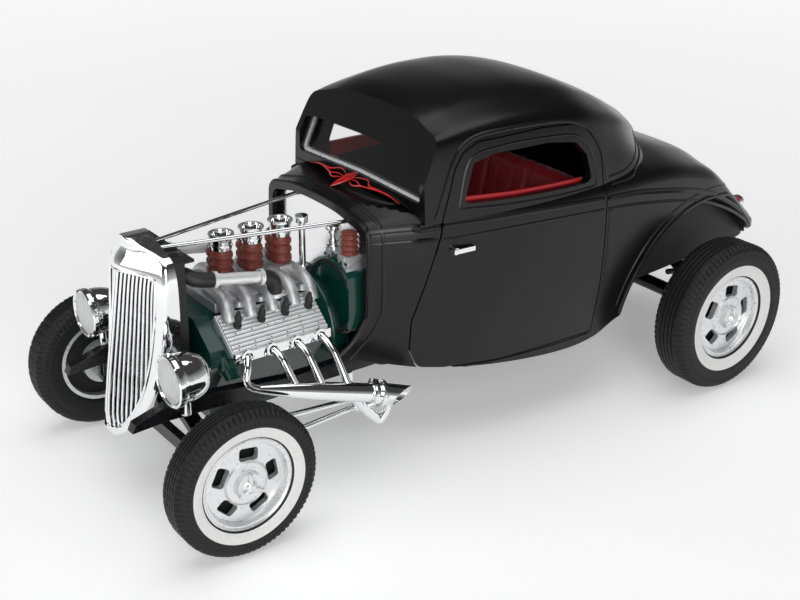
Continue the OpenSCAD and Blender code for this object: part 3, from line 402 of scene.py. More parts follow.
def soften(bm, width, angle, **limits):
    """Joins faces that lie flat together and rounds the edges sharper than angle."""
    bmesh.ops.dissolve_limit(bm, angle_limit=radians(0.6), verts=bm.verts, edges=bm.edges, **limits)
    sharp = [e for e in bm.edges if len(e.link_faces) == 2 and e.calc_face_angle(0) > radians(angle)]
    round_edges(bm, sharp, width)


def flipped(bm):
    """Mirror image across the middle of the car."""
    bmesh.ops.scale(bm, vec=(-1, 1, 1), verts=bm.verts)
    bmesh.ops.reverse_faces(bm, faces=bm.faces)
    return bm


def carve(base, *steps):
    """Mesh left after boolean steps of (operation, mesh) on base, one after another."""
    scene = bpy.context.scene.collection
    made = [bpy.data.objects.new("base", base)]
    scene.objects.link(made[0])
    for operation, mesh in steps:
        tool = bpy.data.objects.new("tool", mesh)
        scene.objects.link(tool)
        made.append(tool)
        modifier = made[0].modifiers.new("cut", "BOOLEAN")
        modifier.operation = operation
        modifier.solver = "MANIFOLD"
        modifier.object = tool
    graph = bpy.context.evaluated_depsgraph_get()
    result = bpy.data.meshes.new_from_object(made[0].evaluated_get(graph))
    for o in made:
        bpy.data.objects.remove(o)
    if not result.polygons:
        raise RuntimeError("a boolean left nothing")
    return result


def piece(name, part, material, body, nodes=(), angle=32, bevel=0):
    """Finished object from a mesh or bmesh in millimetres, riding a body and standing for CAD nodes."""
    mesh = part if isinstance(part, bpy.types.Mesh) else mesh_from(part, name)
    mesh.name = name
    bm = bmesh.new()
    bm.from_mesh(mesh)
    if bevel:
        soften(bm, bevel, angle, delimit={"MATERIAL"})
    bmesh.ops.scale(bm, vec=(MM, MM, MM), verts=bm.verts)
    bm.to_mesh(mesh)
    bm.free()
    mesh.shade_smooth()
    mesh.set_sharp_from_angle(angle=radians(angle))
    materials = material if isinstance(material, (list, tuple)) else [material]
    index = [p.material_index for p in mesh.polygons]
    mesh.materials.clear()
    for m in materials:
        mesh.materials.append(m)
    mesh.polygons.foreach_set("material_index", [min(i, len(materials) - 1) for i in index])
    obj = bpy.data.objects.new(name, mesh)
    bpy.context.scene.collection.objects.link(obj)
    obj.modifiers.new("normals", "WEIGHTED_NORMAL").keep_sharp = True
    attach(obj, body)
    if nodes:
        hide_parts(*nodes)
    return obj


def node_mesh(node):
    """Merged copy of a CAD node, in millimetres."""
    bm = bmesh.new()
    bm.from_mesh(frame["nodes"][node].data)
    bmesh.ops.scale(bm, vec=(1 / MM,) * 3, verts=bm.verts)
    bmesh.ops.remove_doubles(bm, verts=bm.verts, dist=1e-3)
    return painted(bm, 0)


def dress(node, material, bevel=0.12, angle=30, extra=()):
    """Detailed copy of a CAD node with broken edges, and any extra parts joined to it."""
    part = node_mesh(node)
    if bevel:
        soften(part, bevel, angle)
    whole = joined(part, *extra) if extra else part
    return piece(node + "_finish", whole, material, body_of(frame["nodes"][node])[0], [node], angle=angle)


def keep(node, material):
    """Gives a CAD node that stays as it is a finish."""
    for s in frame["nodes"][node].material_slots:
        s.material = material


# ---------- finishes ----------

GRAIN_DEPTH = 0.00012


def set_sockets(node, values):
    for socket, value in values.items():
        node.inputs[socket.replace("_", " ")].default_value = value


def shader_node(tree, kind, feeds=(), **values):
    """New shader node with its values set, fed by rows of (socket, node, output)."""
    node = tree.nodes.new("ShaderNode" + kind)
    set_sockets(node, values)
    for socket, source, output in feeds:
        tree.links.new(source.outputs[output], node.inputs[socket])
    return node


def math_node(tree, operation, a, b, clamp=False):
    """Math node on two values, each given as (node, output)."""
    node = shader_node(tree, "Math", [(0, *a), (1, *b)])
    node.operation, node.use_clamp = operation, clamp
    return node


def finish(name, color, roughness=0.4, metallic=0.0, spread=0.04, mottle=0.08, scale=900, grain=0.0, grain_scale=6000,
           cells=False, **sockets):
    """Procedural finish: colour mottled by noise, roughness that varies by spread, and a fine bump."""
    material = bpy.data.materials.new(name)
    material.use_nodes = True
    material.diffuse_color = (*color, 1)
    tree = material.node_tree
    shader = tree.nodes["Principled BSDF"]
    set_sockets(shader, {"Metallic": metallic, **sockets})
    where = shader_node(tree, "TexCoord")
    cloud = shader_node(tree, "TexNoise", [("Vector", where, "Object")], Scale=scale, Detail=4)
    ramp = shader_node(tree, "ValToRGB", [("Fac", cloud, "Fac")])
    for i, place, share in ((0, 0.3, 1 - mottle), (1, 0.72, 1 + mottle)):
        ramp.color_ramp.elements[i].position = place
        ramp.color_ramp.elements[i].color = (*[min(c * share, 1) for c in color], 1)
    span = shader_node(tree, "MapRange", [("Value", cloud, "Fac")], From_Min=0.3, From_Max=0.7,
                       To_Min=max(roughness - spread, 0.02), To_Max=min(roughness + spread, 1))
    tree.links.new(ramp.outputs["Color"], shader.inputs["Base Color"])
    tree.links.new(span.outputs["Result"], shader.inputs["Roughness"])
    if grain:
        kind = "TexVoronoi" if cells else "TexNoise"
        fine = shader_node(tree, kind, [("Vector", where, "Object")], Scale=grain_scale)
        bump = shader_node(tree, "Bump", [("Height", fine, "Distance" if cells else "Fac")], Strength=grain,
                           Distance=GRAIN_DEPTH)
        tree.links.new(bump.outputs["Normal"], shader.inputs["Normal"])
    return material


FINISHES = {}


def make_finishes(look):
    """All finishes, from the colours in the settings."""
    made = {
        "body": finish("satin_black_paint", look.body_color, 0.25, spread=0.02, mottle=0.1, scale=60,
                       Specular_IOR_Level=0.36),
        "frame": finish("frame_enamel", (0.006, 0.006, 0.007), 0.25, spread=0.06, mottle=0.15, grain=0.04,
                        Specular_IOR_Level=0.4),
        "plastic": finish("matt_black_plastic", (0.008, 0.008, 0.009), 0.62, mottle=0.2, grain=0.3, grain_scale=9000),
        # Near-black painted shade, put on discs and rings that stand for the shade inside openings and gaps.
        "painted_shade": finish("painted_shade_black", (0.004, 0.004, 0.004), 0.8, mottle=0.3, grain=0.2),
        "chrome": finish("chrome_plate", (0.88, 0.885, 0.89), 0.05, metallic=1.0, spread=0.025, mottle=0.03),
        "bright": finish("polished_panel", (0.9, 0.9, 0.91), 0.16, metallic=1.0, spread=0.05, mottle=0.04,
                         grain=0.06, grain_scale=2500),
        "silver": finish("satin_silver", look.wheel_color, 0.3, metallic=0.6, spread=0.04, mottle=0.03, grain=0.03,
                         grain_scale=3000),
        "rubber": finish("tyre_rubber", (0.008, 0.008, 0.009), 0.55, mottle=0.25, grain=0.2, grain_scale=5000,
                         Specular_IOR_Level=0.35),
        "white": finish("white_sidewall", look.whitewall_color, 0.5, mottle=0.035, grain=0.1, grain_scale=3000),
        "leather": finish("red_leather", look.trim_color, 0.42, mottle=0.16, grain=0.5, grain_scale=2600, cells=True,
                          Sheen_Weight=0.1),
        "red_trim": finish("red_trim", (0.52, 0.012, 0.02), 0.34, mottle=0.1, grain=0.15, Coat_Weight=0.3),
        "stripe": finish("stripe_paint", (0.6, 0.02, 0.02), 0.3, mottle=0.1, Coat_Weight=0.4),
        "glass": finish("clear_glazing", (0.97, 0.98, 0.98), 0.03, spread=0.015, mottle=0.02, Transmission_Weight=1.0,
                        IOR=1.25),
        "lens": finish("fluted_lens", (0.82, 0.84, 0.84), 0.12, spread=0.04, mottle=0.05, Coat_Weight=0.6,
                       Coat_Roughness=0.04, Transmission_Weight=0.25),
        "red_lens": finish("red_lens", (0.55, 0.01, 0.015), 0.1, mottle=0.12, Coat_Weight=0.7, Coat_Roughness=0.04,
                           Transmission_Weight=0.25),
        "green": finish("engine_enamel", look.engine_color, 0.2, spread=0.04, mottle=0.15, grain=0.02,
                        Coat_Weight=0.2, Coat_Roughness=0.08),
        "cast": finish("cast_aluminium", (0.6, 0.61, 0.62), 0.36, metallic=0.7, spread=0.08, mottle=0.12, grain=0.45,
                       grain_scale=7000),
        "alloy": finish("machined_aluminium", (0.9, 0.905, 0.91), 0.3, metallic=0.5, spread=0.03, mottle=0.02,
                        scale=500),
        # Dark finish for the floor between the head fins, where it is painted shade, and for the bolt heads.
        "groove_shade_and_bolts": finish("painted_groove_shade_and_bolts", (0.12, 0.12, 0.125), 0.5, metallic=0.5, mottle=0.15, grain=0.1),
        "boot": finish("red_brown_rubber", look.boot_color, 0.44, mottle=0.15, grain=0.2, grain_scale=5000),
        "hose": finish("black_hose", (0.012, 0.012, 0.013), 0.45, mottle=0.2, grain=0.35, grain_scale=7000),
    }
    FINISHES.clear()
    FINISHES.update(made)


# ---------- body ----------

def spaced(low, high, step):
    """Even places about one step apart, from low to just short of high."""
    n = max(round((high - low) / step), 1)
    return [low + (high - low) * k / n for k in range(n)]


LOWER_STATIONS = spaced(-119, 24, 1.7) + spaced(24, 33, 0.9) + spaced(33, 36, 0.35) + [36]
LOWER_INNER = spaced(-121, 33.6, 3) + [33.6]
GREEN_STATIONS = spaced(-99, -12, 1.4) + spaced(-12, -2.5, 0.6) + [-2.5]
GREEN_INNER = spaced(-99, -6, 2.4) + [-6]


def lower_solid(t=0):
    return loft(LOWER_INNER if t else LOWER_STATIONS, lambda s: lower_half(s, t))


def green_solid(t=0):
    return loft(GREEN_INNER if t else GREEN_STATIONS, lambda s: green_half(s, t))


def outer_solid():
    """The whole body with its roof, as one block."""
    return carve(lower_solid(), (ADD, green_solid()))


def inner_solid(t):
    """Hollow inside the skin; a wall is kept behind the windshield plane."""
    ahead = [(s + t * 1.07, z) for s, z in ((-130, 60), windshield_at(60), windshield_at(112), (-130, 112))]
    room = carve(green_solid(t), (CUT, side_prism(ahead)))
    return carve(lower_solid(t), (ADD, room))


def windshield_cut():
    return side_prism([(-130, 73), (-99.6, 72.4), windshield_at(68), windshield_at(112), (-130, 112)])


def windshield_outline(g=0.0):
    outline = [(-28, 70.9), (0, 71.6), (28, 70.9), (27.3, 81.1), (0, 81.7), (-27.3, 81.1)]
    return fillet(grow(outline, g) if g else outline, 1.6)


def in_windshield(outline, a, b):
    """Slab in the windshield plane, from a to b behind it."""
    return slab(outline, lambda x, z: (x, windshield_at(z)[0] + a + REAR_Y, z), (0, b - a, 0))


def rear_window(g, depth):
    """Leaning slab with the outline of the rear window grown by g."""
    lean = radians(-58)
    outline = fillet([(-13 - g, -4 - g), (13 + g, -4 - g), (13 + g, 4 + g), (-13 - g, 4 + g)], 2 + g)
    start = (-14 + REAR_Y + depth / 2 * sin(lean), 79 - depth / 2 * cos(lean))
    return slab(outline, lambda u, v: (u, start[0] + v * cos(lean), start[1] + v * sin(lean)),
                (0, -depth * sin(lean), depth * cos(lean)))


def door_zone(side, g=0.0):
    """Space a door sweeps around its hinge line; g widens it."""
    outline = grow(fillet([(-20, DOOR_FOOT)] + DOOR_SWEEP + [(-20, DOOR_HEAD)], 2.5), g)
    profile = [p for p in outline if p[0] > 0.5] + [(0, DOOR_HEAD + g)]
    profile.insert(0, (0, along(sorted((p[0], p[1]) for p in profile if p[1] < 30)[:4], 0)))
    sweep = mesh_from(lathe(profile, UP, (BODY_HALF - 0.2, HINGE_S + REAR_Y, 0), steps=180, closed=True))
    zone = carve(sweep, (MEET, side_prism(grow(DOOR_REAR, g), 12, 72)))
    if side < 0:
        bm = bmesh.new()
        bm.from_mesh(zone)
        zone = mesh_from(flipped(bm))
    return zone


def lid_zone(g=0.0):
    """Space the decklid sweeps around its hinge line; g widens it."""
    hinge_z = along(CROWN_Z, -1) + 0.1
    half = 15.5 + g
    drum = mesh_from(lathe([(0, -half), (34.6 + g, -half), (34.6 + g, half), (0, half)], (1, 0, 0),
                           (0, REAR_Y - 1, hinge_z), steps=240, closed=True))
    return carve(drum, (MEET, box((-half - 5, REAR_Y - 1.2 - g, 40), (half + 5, REAR_Y + 60, 100))))


def arch_points(g, low=0, high=180, step=3):
    """Edge of the rear wheel arch grown by g, as (s, z) places from one angle to another."""
    out = []
    for k in range(int((high - low) / step) + 1):
        q = low + k * step
        r = ARCH_R + g + along(ARCH_SWELL, q)
        out.append((-r * cos(radians(q)), REAR_AXLE_Z + r * sin(radians(q))))
    return out


def arch_prism():
    return side_prism(arch_points(0) + [(ARCH_R + 9, -20), (-ARCH_R, -20)], -75, 75)


def bead(path, radius, rise, mirror=1, closed=False, step=1.1):
    """Raised round moulding along (s, z) places on the side of the body."""
    line = []
    for s, z in walk(path, step, closed):
        p, n = side_point(s, z)
        line.append(tuple(p - n * (radius - rise)))
    bm = tube(line, radius, closed=closed, sides=3)
    return flipped(bm) if mirror < 0 else bm


def beads(path, radius, rise):
    """The same moulding on both sides."""
    return [bead(path, radius, rise, m) for m in (1, -1)]


def section_bead(front, s, low, radius, rise):
    """Moulding over the cowl at s, down to height low and then along the (s, z) places of front."""
    half = []
    for place in walk(front, 1.0):
        p, n = side_point(*place)
        half.append(p - n * (radius - rise))
    outline = [(x, z) for x, z in lower_half(s, 0) if z > low]
    for (x0, z0), (x1, z1) in zip(outline, outline[1:]):
        n = Vector((z1 - z0, 0, -(x1 - x0))).normalized()
        if n.z < -0.1:
            n = -n
        half.append(Vector(((x0 + x1) / 2, s + REAR_Y, (z0 + z1) / 2)) - n * (radius - rise))
    line = [tuple(p) for p in half] + [(-p.x, p.y, p.z) for p in reversed(half)]
    return tube(line, radius, sides=3)


BELT_HIGH = [(-110, 64.7), (-104, 65.0), (-92.4, 65.3), (-70.9, 65.2), (-55, 64.5), (-40.7, 63.7), (-28.6, 62.9),
             (-10.7, 59.6), (0, 56.8), (9.3, 53.0), (18, 48.4), (26, 43.2), (32, 39.4), (35.4, 37.4)]
BELT_LOW = [(-110, 61.5), (-92.8, 61.8), (-70, 61.8), (-55, 61.4), (-39.8, 60.7), (-28, 59.6), (-10.7, 56.6),
            (0, 53.9), (9.3, 50.4), (18, 46.3), (25, 42.2), (31, 38.9), (35, 37.0)]
SILL = [(-103, 25.4), (-92.4, 24.0), (-84, 23.4), (-75.9, 22.9), (-62, 22.8), (-51.2, 22.9), (-43, 23.1)]
DRIP = [(-94.6, 67.2), (-92.9, 71.5), (-91.2, 76.0), (-89.2, 80.6), (-86.6, 84.2), (-82.5, 86.3), (-76, 87.0),
        (-62, 87.0), (-53, 86.2), (-47, 84.2), (-42.6, 80.6), (-40.2, 76), (-39.6, 70), (-39.6, 60), (-39.6, 48),
        (-39.9, 38), (-40.6, 28)]
WINDOW_RIM = [(-88.2, 68.9), (-84.3, 80.9), (-77.2, 83.0), (-59.8, 83.1), (-49.4, 81.6), (-45.3, 77.4),
              (-43.9, 68.3), (-47.6, 67.4), (-70, 67.7)]


def part_of(path, low, high):
    """The stretch of a smooth path between two places along the body."""
    return [p for p in walk(path, 0.8) if low <= p[0] <= high]


def belt_lines(low, high, sides=(1, -1)):
    """Both belt mouldings between two places along the body."""
    return [bead(part_of(path, low, high), radius, rise, m)
            for path, radius, rise in ((BELT_HIGH, 1.05, 0.42), (BELT_LOW, 0.5, 0.24)) for m in sides]


def cowl_trim():
    hoops = [section_bead([(-117.6, 31.9), (-115, 34), (-112, 37.6), (-110.1, 41.5)], -109.9, 42, 0.75, 0.4),
             section_bead([(-115.6, 29.6), (-112.4, 32.6), (-109, 37), (-106.9, 42.5)], -106.6, 43, 0.6, 0.3)]
    return belt_lines(-110.2, -93.4) + beads(part_of(SILL, -103, -94.4), 0.5, 0.26) + hoops


def rear_trim():
    lip = [(s, z) for s, z in arch_points(0.75, 4, 164) if z > along(FOOT_Z, s) + 0.4]
    crease = [(s, z) for s, z in arch_points(3.4, 12, 152) if z > along(FOOT_Z, s) + 1]
    return (belt_lines(-40.9, 36) + beads(part_of(SILL, -93.6, -43), 0.5, 0.26) + beads(DRIP[13:], 0.75, 0.36)
            + beads(lip, 0.85, 0.5) + beads(crease, 0.5, 0.2))


def roof_trim():
    base = [(-38.6, 66.9), (-30, 67.2), (-22, 69.4), (-15, 71.4), (-9, 72.7), (-6, 73.2)]
    return (beads(DRIP[:12] + [(-39.6, 68)], 0.75, 0.36) + beads(base, 0.6, 0.3)
            + beads([(s, z + 1.9) for s, z in base[:5]], 0.45, 0.2))


def door_trim(m):
    return belt_lines(-92.5, -41.9, [m]) + [bead(WINDOW_RIM, 0.5, 0.24, m, closed=True)]


def build_shell():
    """Cuts every body panel out of one skin, so the gaps and lines run through."""
    skin = outer_solid()
    door_gaps = [(CUT, door_zone(m, GAP)) for m in (1, -1)]
    nose = (CUT, side_prism(NOSE_CUT))
    screen = (CUT, windshield_cut())
    shell = carve(skin.copy(), (CUT, inner_solid(WALL)), nose, screen,
                  (CUT, in_windshield(windshield_outline(), -6, 10)), (CUT, rear_window(0, 16)), (CUT, arch_prism()),
                  *door_gaps, (CUT, lid_zone(GAP)))
    cowl = carve(lower_solid(), (MEET, side_prism(COWL_SPLIT, -50, 50)), (CUT, lower_solid(WALL)), nose, screen,
                 *door_gaps)
    roof = carve(shell.copy(), (MEET, side_prism(ROOF_SPLIT)))
    rear = carve(shell, (CUT, side_prism(COWL_SPLIT)), (CUT, side_prism(ROOF_SPLIT)))
    door_skin = carve(skin, (CUT, inner_solid(DOOR_WALL)), screen, (CUT, side_prism(fillet(DOOR_WINDOW, 1.6))))
    doors = {m: carve(door_skin.copy(), (MEET, door_zone(m))) for m in (1, -1)}
    lid = carve(lower_solid(), (CUT, lower_solid(WALL)), (MEET, lid_zone()))
    return cowl, roof, rear, doors, lid


def top_point(x, s, lift=0.0):
    """Point on top of the cowl or deck at x and s."""
    half = lower_half(s, 0)
    for (x0, z0), (x1, z1) in zip(half[::-1], half[-2::-1]):
        if x0 <= abs(x) <= x1:
            return x, s + REAR_Y, z0 + (z1 - z0) * (abs(x) - x0) / (x1 - x0) + lift
    return x, s + REAR_Y, half[-1][1] + lift


def scroll_work():
    """Fine mirrored scrolls painted ahead of the windshield."""
    strokes = [
        [(0, -97), (1.3, -99.8), (1.1, -102.4), (0.5, -104.4), (0, -105.8)],
        [(0.1, -98.4), (0.5, -100.6), (0.5, -102.8), (0.1, -104.6)],
        [(1.3, -99.9), (3.6, -98.7), (6.4, -98.2), (9, -99.6), (12.4, -99.4), (16.4, -98.8), (20.8, -98.6)],
        [(1.4, -100.6), (4.2, -100.3), (7, -101), (9.4, -100.5), (12.6, -99.6), (17, -98.9)],
        [(2.2, -101.2), (4.6, -102.2), (6.6, -101.4), (9.6, -100.1)],
    ]
    parts = []
    for stroke in strokes:
        n = len(walk(stroke, 0.35))
        for m in (1, -1):
            line = [top_point(m * x, s, 0.02) for x, s in walk(stroke, 0.35)]
            taper = [0.35 + 0.65 * sin(pi * min(i / (n - 1), 1)) for i in range(n)]
            parts.append(tube(line, 0.24, sides=1, radii=taper))
    return joined(*parts)


class HOTROD_OT_body(bpy.types.Operator):
    """Add the cowl, roof, rear body, doors and decklid with their mouldings"""
    bl_idname = "hotrod.body"
    bl_label = "Body Panels"

    def execute(self, context):
        paint = FINISHES["body"]
        cowl, roof, rear, doors, lid = build_shell()
        piece("cowl_panel", joined(cowl, *cowl_trim()), paint, "chassis", ["cowl"])
        piece("roof_panel", joined(roof, *roof_trim()), paint, "chassis", ["roof"])
        piece("rear_panel", joined(rear, *rear_trim()), paint, "chassis", ["rear_body"])
        for name, m in SIDES:
            piece(f"door_{name}_panel", joined(doors[m], *door_trim(m)), paint, f"door_{name}", [f"door_{name}"])
        piece("decklid_panel", joined(lid), paint, "decklid", ["decklid"])
        piece("cowl_scrolls", scroll_work(), FINISHES["stripe"], "chassis")
        return {"FINISHED"}


# ---------- settings ----------

class HotRodLook(bpy.types.PropertyGroup):
    """Colours of the car and its studio"""
    body_color: bpy.props.FloatVectorProperty(
        name="Body", description="Satin paint on the body panels", subtype="COLOR", default=(0.0035, 0.0035, 0.004))
    wheel_color: bpy.props.FloatVectorProperty(
        name="Wheels", description="Satin finish of the wheels", subtype="COLOR", default=(0.8, 0.81, 0.82))
    whitewall_color: bpy.props.FloatVectorProperty(
        name="Whitewall", description="White band on the tyres", subtype="COLOR", default=(0.86, 0.86, 0.85))
    trim_color: bpy.props.FloatVectorProperty(
        name="Trim", description="Red leather of the seat", subtype="COLOR", default=(0.3, 0.008, 0.014))
    engine_color: bpy.props.FloatVectorProperty(
        name="Engine", description="Enamel on the block and bell housing", subtype="COLOR",
        default=(0.003, 0.04, 0.03))
    boot_color: bpy.props.FloatVectorProperty(
        name="Boots", description="Ribbed intake boots", subtype="COLOR", default=(0.2, 0.042, 0.03))
    floor_color: bpy.props.FloatVectorProperty(
        name="Floor", description="Floor and backdrop", subtype="COLOR", default=(0.93, 0.93, 0.93))
    key_power: bpy.props.FloatProperty(
        name="Key Light", description="Power of the overhead softbox", default=1.0, min=0, subtype="POWER",
        unit="POWER")


# ---------- doors, glazing and interior ----------

def trim_band(m, low_t, high_t, outline):
    """Lining between two depths inside the skin, cut to a side outline."""
    outer, inner = [carve(lower_solid(t), (ADD, green_solid(t))) for t in (low_t, high_t)]
    return joined(carve(outer, (CUT, inner), (MEET, side_prism(outline, 12 * m, 60 * m))))


SEAT_HALF = 25.6
SEAMS = 9
SEAM_WIDTH = 0.9
SEAM_DEPTH = 0.75
PAD_CUTS = 47
LINING_DEPTH = 0.1
LINING_THICK = 0.8


def padded_block(low, high, puff, round_r):
    """Rounded pad whose top and front are pressed in along evenly spaced seams."""
    bm = bmesh.new()
    bmesh.ops.create_cube(bm, size=1)
    bmesh.ops.subdivide_edges(bm, edges=bm.edges, cuts=PAD_CUTS, use_grid_fill=True)
    size = [hi - lo for lo, hi in zip(low, high)]
    for v in bm.verts:
        p = Vector([c * d for c, d in zip(v.co, size)])
        inside = Vector([max(-d / 2 + round_r, min(d / 2 - round_r, q)) for q, d in zip(p, size)])
        away = (p - inside).normalized()
        crown = puff * (1 - (v.co.x * 2) ** 4) * (1 - (v.co.y * 2) ** 2 * 0.6)
        seam = abs(((v.co.x + 0.5) * SEAMS + 0.5) % 1 - 0.5) * size[0] / SEAMS
        press = SEAM_DEPTH * max(0, 1 - seam / SEAM_WIDTH) ** 2
        q = inside + away * (round_r + crown * 0.5 - press)
        v.co = [c + (lo + hi) / 2 for c, lo, hi in zip(q, low, high)]
    bmesh.ops.recalc_face_normals(bm, faces=bm.faces)
    return bm


def turned(bm, degrees, centre):
    """Leans a part over about a line across the car."""
    bmesh.ops.rotate(bm, verts=bm.verts, cent=centre, matrix=Matrix.Rotation(radians(degrees), 3, "X"))
    return bm


class HOTROD_OT_interior(bpy.types.Operator):
    """Add the seat, steering wheel, dash, red linings and glazing"""
    bl_idname = "hotrod.interior"
    bl_label = "Interior and Glazing"

    def execute(self, context):
        y = REAR_Y
        cushion = padded_block((-SEAT_HALF, y - 70.5, 31), (SEAT_HALF, y - 47, 43.6), 1.0, 3.2)
        back = turned(padded_block((-SEAT_HALF, y - 49.5, 38), (SEAT_HALF, y - 43.2, 66), 0.9, 2.8), -14,
                      (0, y - 45, 42))
        seat = piece("bench_seat_pad", joined(cushion, back), FINISHES["leather"], "chassis", ["bench_seat"],
                     angle=60)
        dress("steering_wheel", FINISHES["red_trim"], bevel=0)
        dress("dashboard", FINISHES["plastic"], bevel=0.6)
        bezel = [(0, 0.1), (1.7, 0.1), (1.9, 0.5), (2.3, 0.5), (2.4, 0), (0, 0)]
        gauges = [lathe(bezel, BACK, (x, y - 94.45, 61.6), steps=32) for x in (-18, -6, 6, 18)]
        piece("dash_gauges", joined(*gauges), FINISHES["chrome"], "chassis")
        strip = [(-86.2, 66.2), (-46.4, 66.2), (-46.4, 69.4), (-48, 69.5), (-70, 70.0), (-86.4, 71.0)]
        for name, m in SIDES:
            lining = trim_band(m, DOOR_WALL + LINING_DEPTH, DOOR_WALL + LINING_DEPTH + LINING_THICK, strip)
            piece(f"door_{name}_lining", lining, FINISHES["red_trim"], f"door_{name}")
        keep("windshield_glass", FINISHES["glass"])
        pane = carve(green_solid(0.3), (CUT, green_solid(0.9)), (MEET, rear_window(-0.05, 16)))
        piece("rear_pane", pane, FINISHES["glass"], "chassis", nodes=("rear_glass",))
        rim = carve(in_windshield(windshield_outline(0.5), -0.3, 0.4),
                    (CUT, in_windshield(windshield_outline(0.02), -2, 3)))
        piece("windshield_rim", rim, FINISHES["silver"], "chassis")
        dress("windshield_frame", FINISHES["silver"], bevel=0.1)
        dress("firewall", FINISHES["bright"], bevel=0.15)
        for name, m in SIDES:
            dress(f"door_handle_{name}", FINISHES["chrome"], bevel=0.14)
        ring = [(1.75, 4.2), (2.1, 4.2), (2.35, 3.6), (2.35, 2.2), (1.9, 2.2)]
        rings = [lathe(ring, BACK, (21.5 * m, y + 30, 42.8), steps=48, closed=True) for m in (1, -1)]
        dress("tail_lights", FINISHES["red_lens"], bevel=0.2)
        piece("tail_light_rings", joined(*rings), FINISHES["chrome"], "chassis")
        return {"FINISHED"}


# ---------- chassis and running gear ----------

class HOTROD_OT_chassis(bpy.types.Operator):
    """Add the finished frame, axles, springs, rods and floor"""
    bl_idname = "hotrod.chassis"
    bl_label = "Chassis"

    def execute(self, context):
        for node in ("frame_rail_left", "frame_rail_right", "crossmembers", "front_axle", "front_spring", "rear_axle",
                     "rear_spring", "drive_shaft", "knuckle_left", "knuckle_right", "tie_rod"):
            dress(node, FINISHES["frame"], bevel=0.16)
        for node in ("floor_pan", "trunk_floor"):
            dress(node, FINISHES["plastic"], bevel=0.12)
        dress("radius_rods", FINISHES["chrome"], bevel=0.12)
        return {"FINISHED"}


TYRE_STEPS = 240
RIBS = 5
GROOVE_HALF = 0.17
GROOVE_DEPTH = 0.55
SIPE_DEPTH = 0.14
LUG_DEPTH = 0.4
DASH_DEPTH = 0.22
# shares of a tyre's width
TREAD_SHARE = 0.3
RIM_SHARE = 0.36


def tyre_part(r, w, rim, wall_out, axis_sign, centre):
    """Tyre with a white outer wall, ribbed tread and shoulder lugs."""
    tread_half, foot = w * TREAD_SHARE, w * RIM_SHARE
    wall = smooth([(rim + 0.6, -w * 0.42), (rim + (r - rim) * 0.4, -w / 2), (r - 2.4, -w / 2), (r - 0.6, -w * 0.45),
                   (r, -tread_half)], 7)[:-1]
    tread = []
    for k in range(RIBS):
        a, b = [-tread_half + 2 * tread_half * i / RIBS for i in (k, k + 1)]
        tread += [(r, a + GROOVE_HALF), (r, b - GROOVE_HALF)]
        if k < RIBS - 1:
            tread += [(r - GROOVE_DEPTH, b - GROOVE_HALF * 0.7), (r - GROOVE_DEPTH, b + GROOVE_HALF * 0.7)]
    profile = [(rim, -foot), *wall, *tread, *[(a, -b) for a, b in wall[::-1]], (rim, foot)]
    bm = lathe(profile, (axis_sign, 0, 0), centre, steps=TYRE_STEPS, closed=True)
    for v in bm.verts:
        d = v.co - Vector(centre)
        h = abs(d.x)
        radius = hypot(d.y, d.z)
        inwards = -Vector((0, d.y, d.z)).normalized()
        turn = round(atan2(d.z, d.y) / (2 * pi) * TYRE_STEPS)
        if w * 0.31 < h < w * 0.475 and radius > r - 1.9 and turn % 3 == 0:
            v.co += inwards * LUG_DEPTH
        if w * 0.4 < h and r - 3.3 < radius < r - 2.1 and turn % 3 == 1:
            v.co.x -= DASH_DEPTH * (1 if d.x > 0 else -1)
        if radius > r - 0.1 and h < tread_half and turn % 5 == 0:
            v.co += inwards * SIPE_DEPTH
    for f in bm.faces:
        d = f.calc_center_median() - Vector(centre)
        white = d.x * axis_sign > tread_half and rim + 0.5 < hypot(d.y, d.z) < wall_out
        f.material_index = 1 if white else 0
    return bm


def spinner(axis_sign, centre, height):
    """Three-bar knock-off for the middle of a wheel."""
    spot = Vector((centre[0] + axis_sign * height, centre[1], centre[2]))
    parts = [lathe([(0, 1.15), (0.7, 1.1), (1.3, 0.75), (1.5, 0.2), (2.3, 0.1), (2.45, -0.6), (0, -0.6)],
                   (axis_sign, 0, 0), spot, steps=48)]
    for q in (radians(90 + 120 * k) for k in range(3)):
        line = [tuple(spot + Vector((axis_sign * lift, cos(q) * d, sin(q) * d)))
                for d, lift in ((0.4, 0.55), (1.6, 0.5), (2.8, 0.35), (3.7, 0.4))]
        parts.append(tube(line, 0.5, sides=3, radii=[1.1, 1, 0.9, 0.95]))
    return parts


# end, radius, width, rim radius and outer radius of the white band
TYRES = (("front", 19.0, 8.8, 11.7, 14.9), ("rear", 22.3, 11.6, 12.3, 16.6))


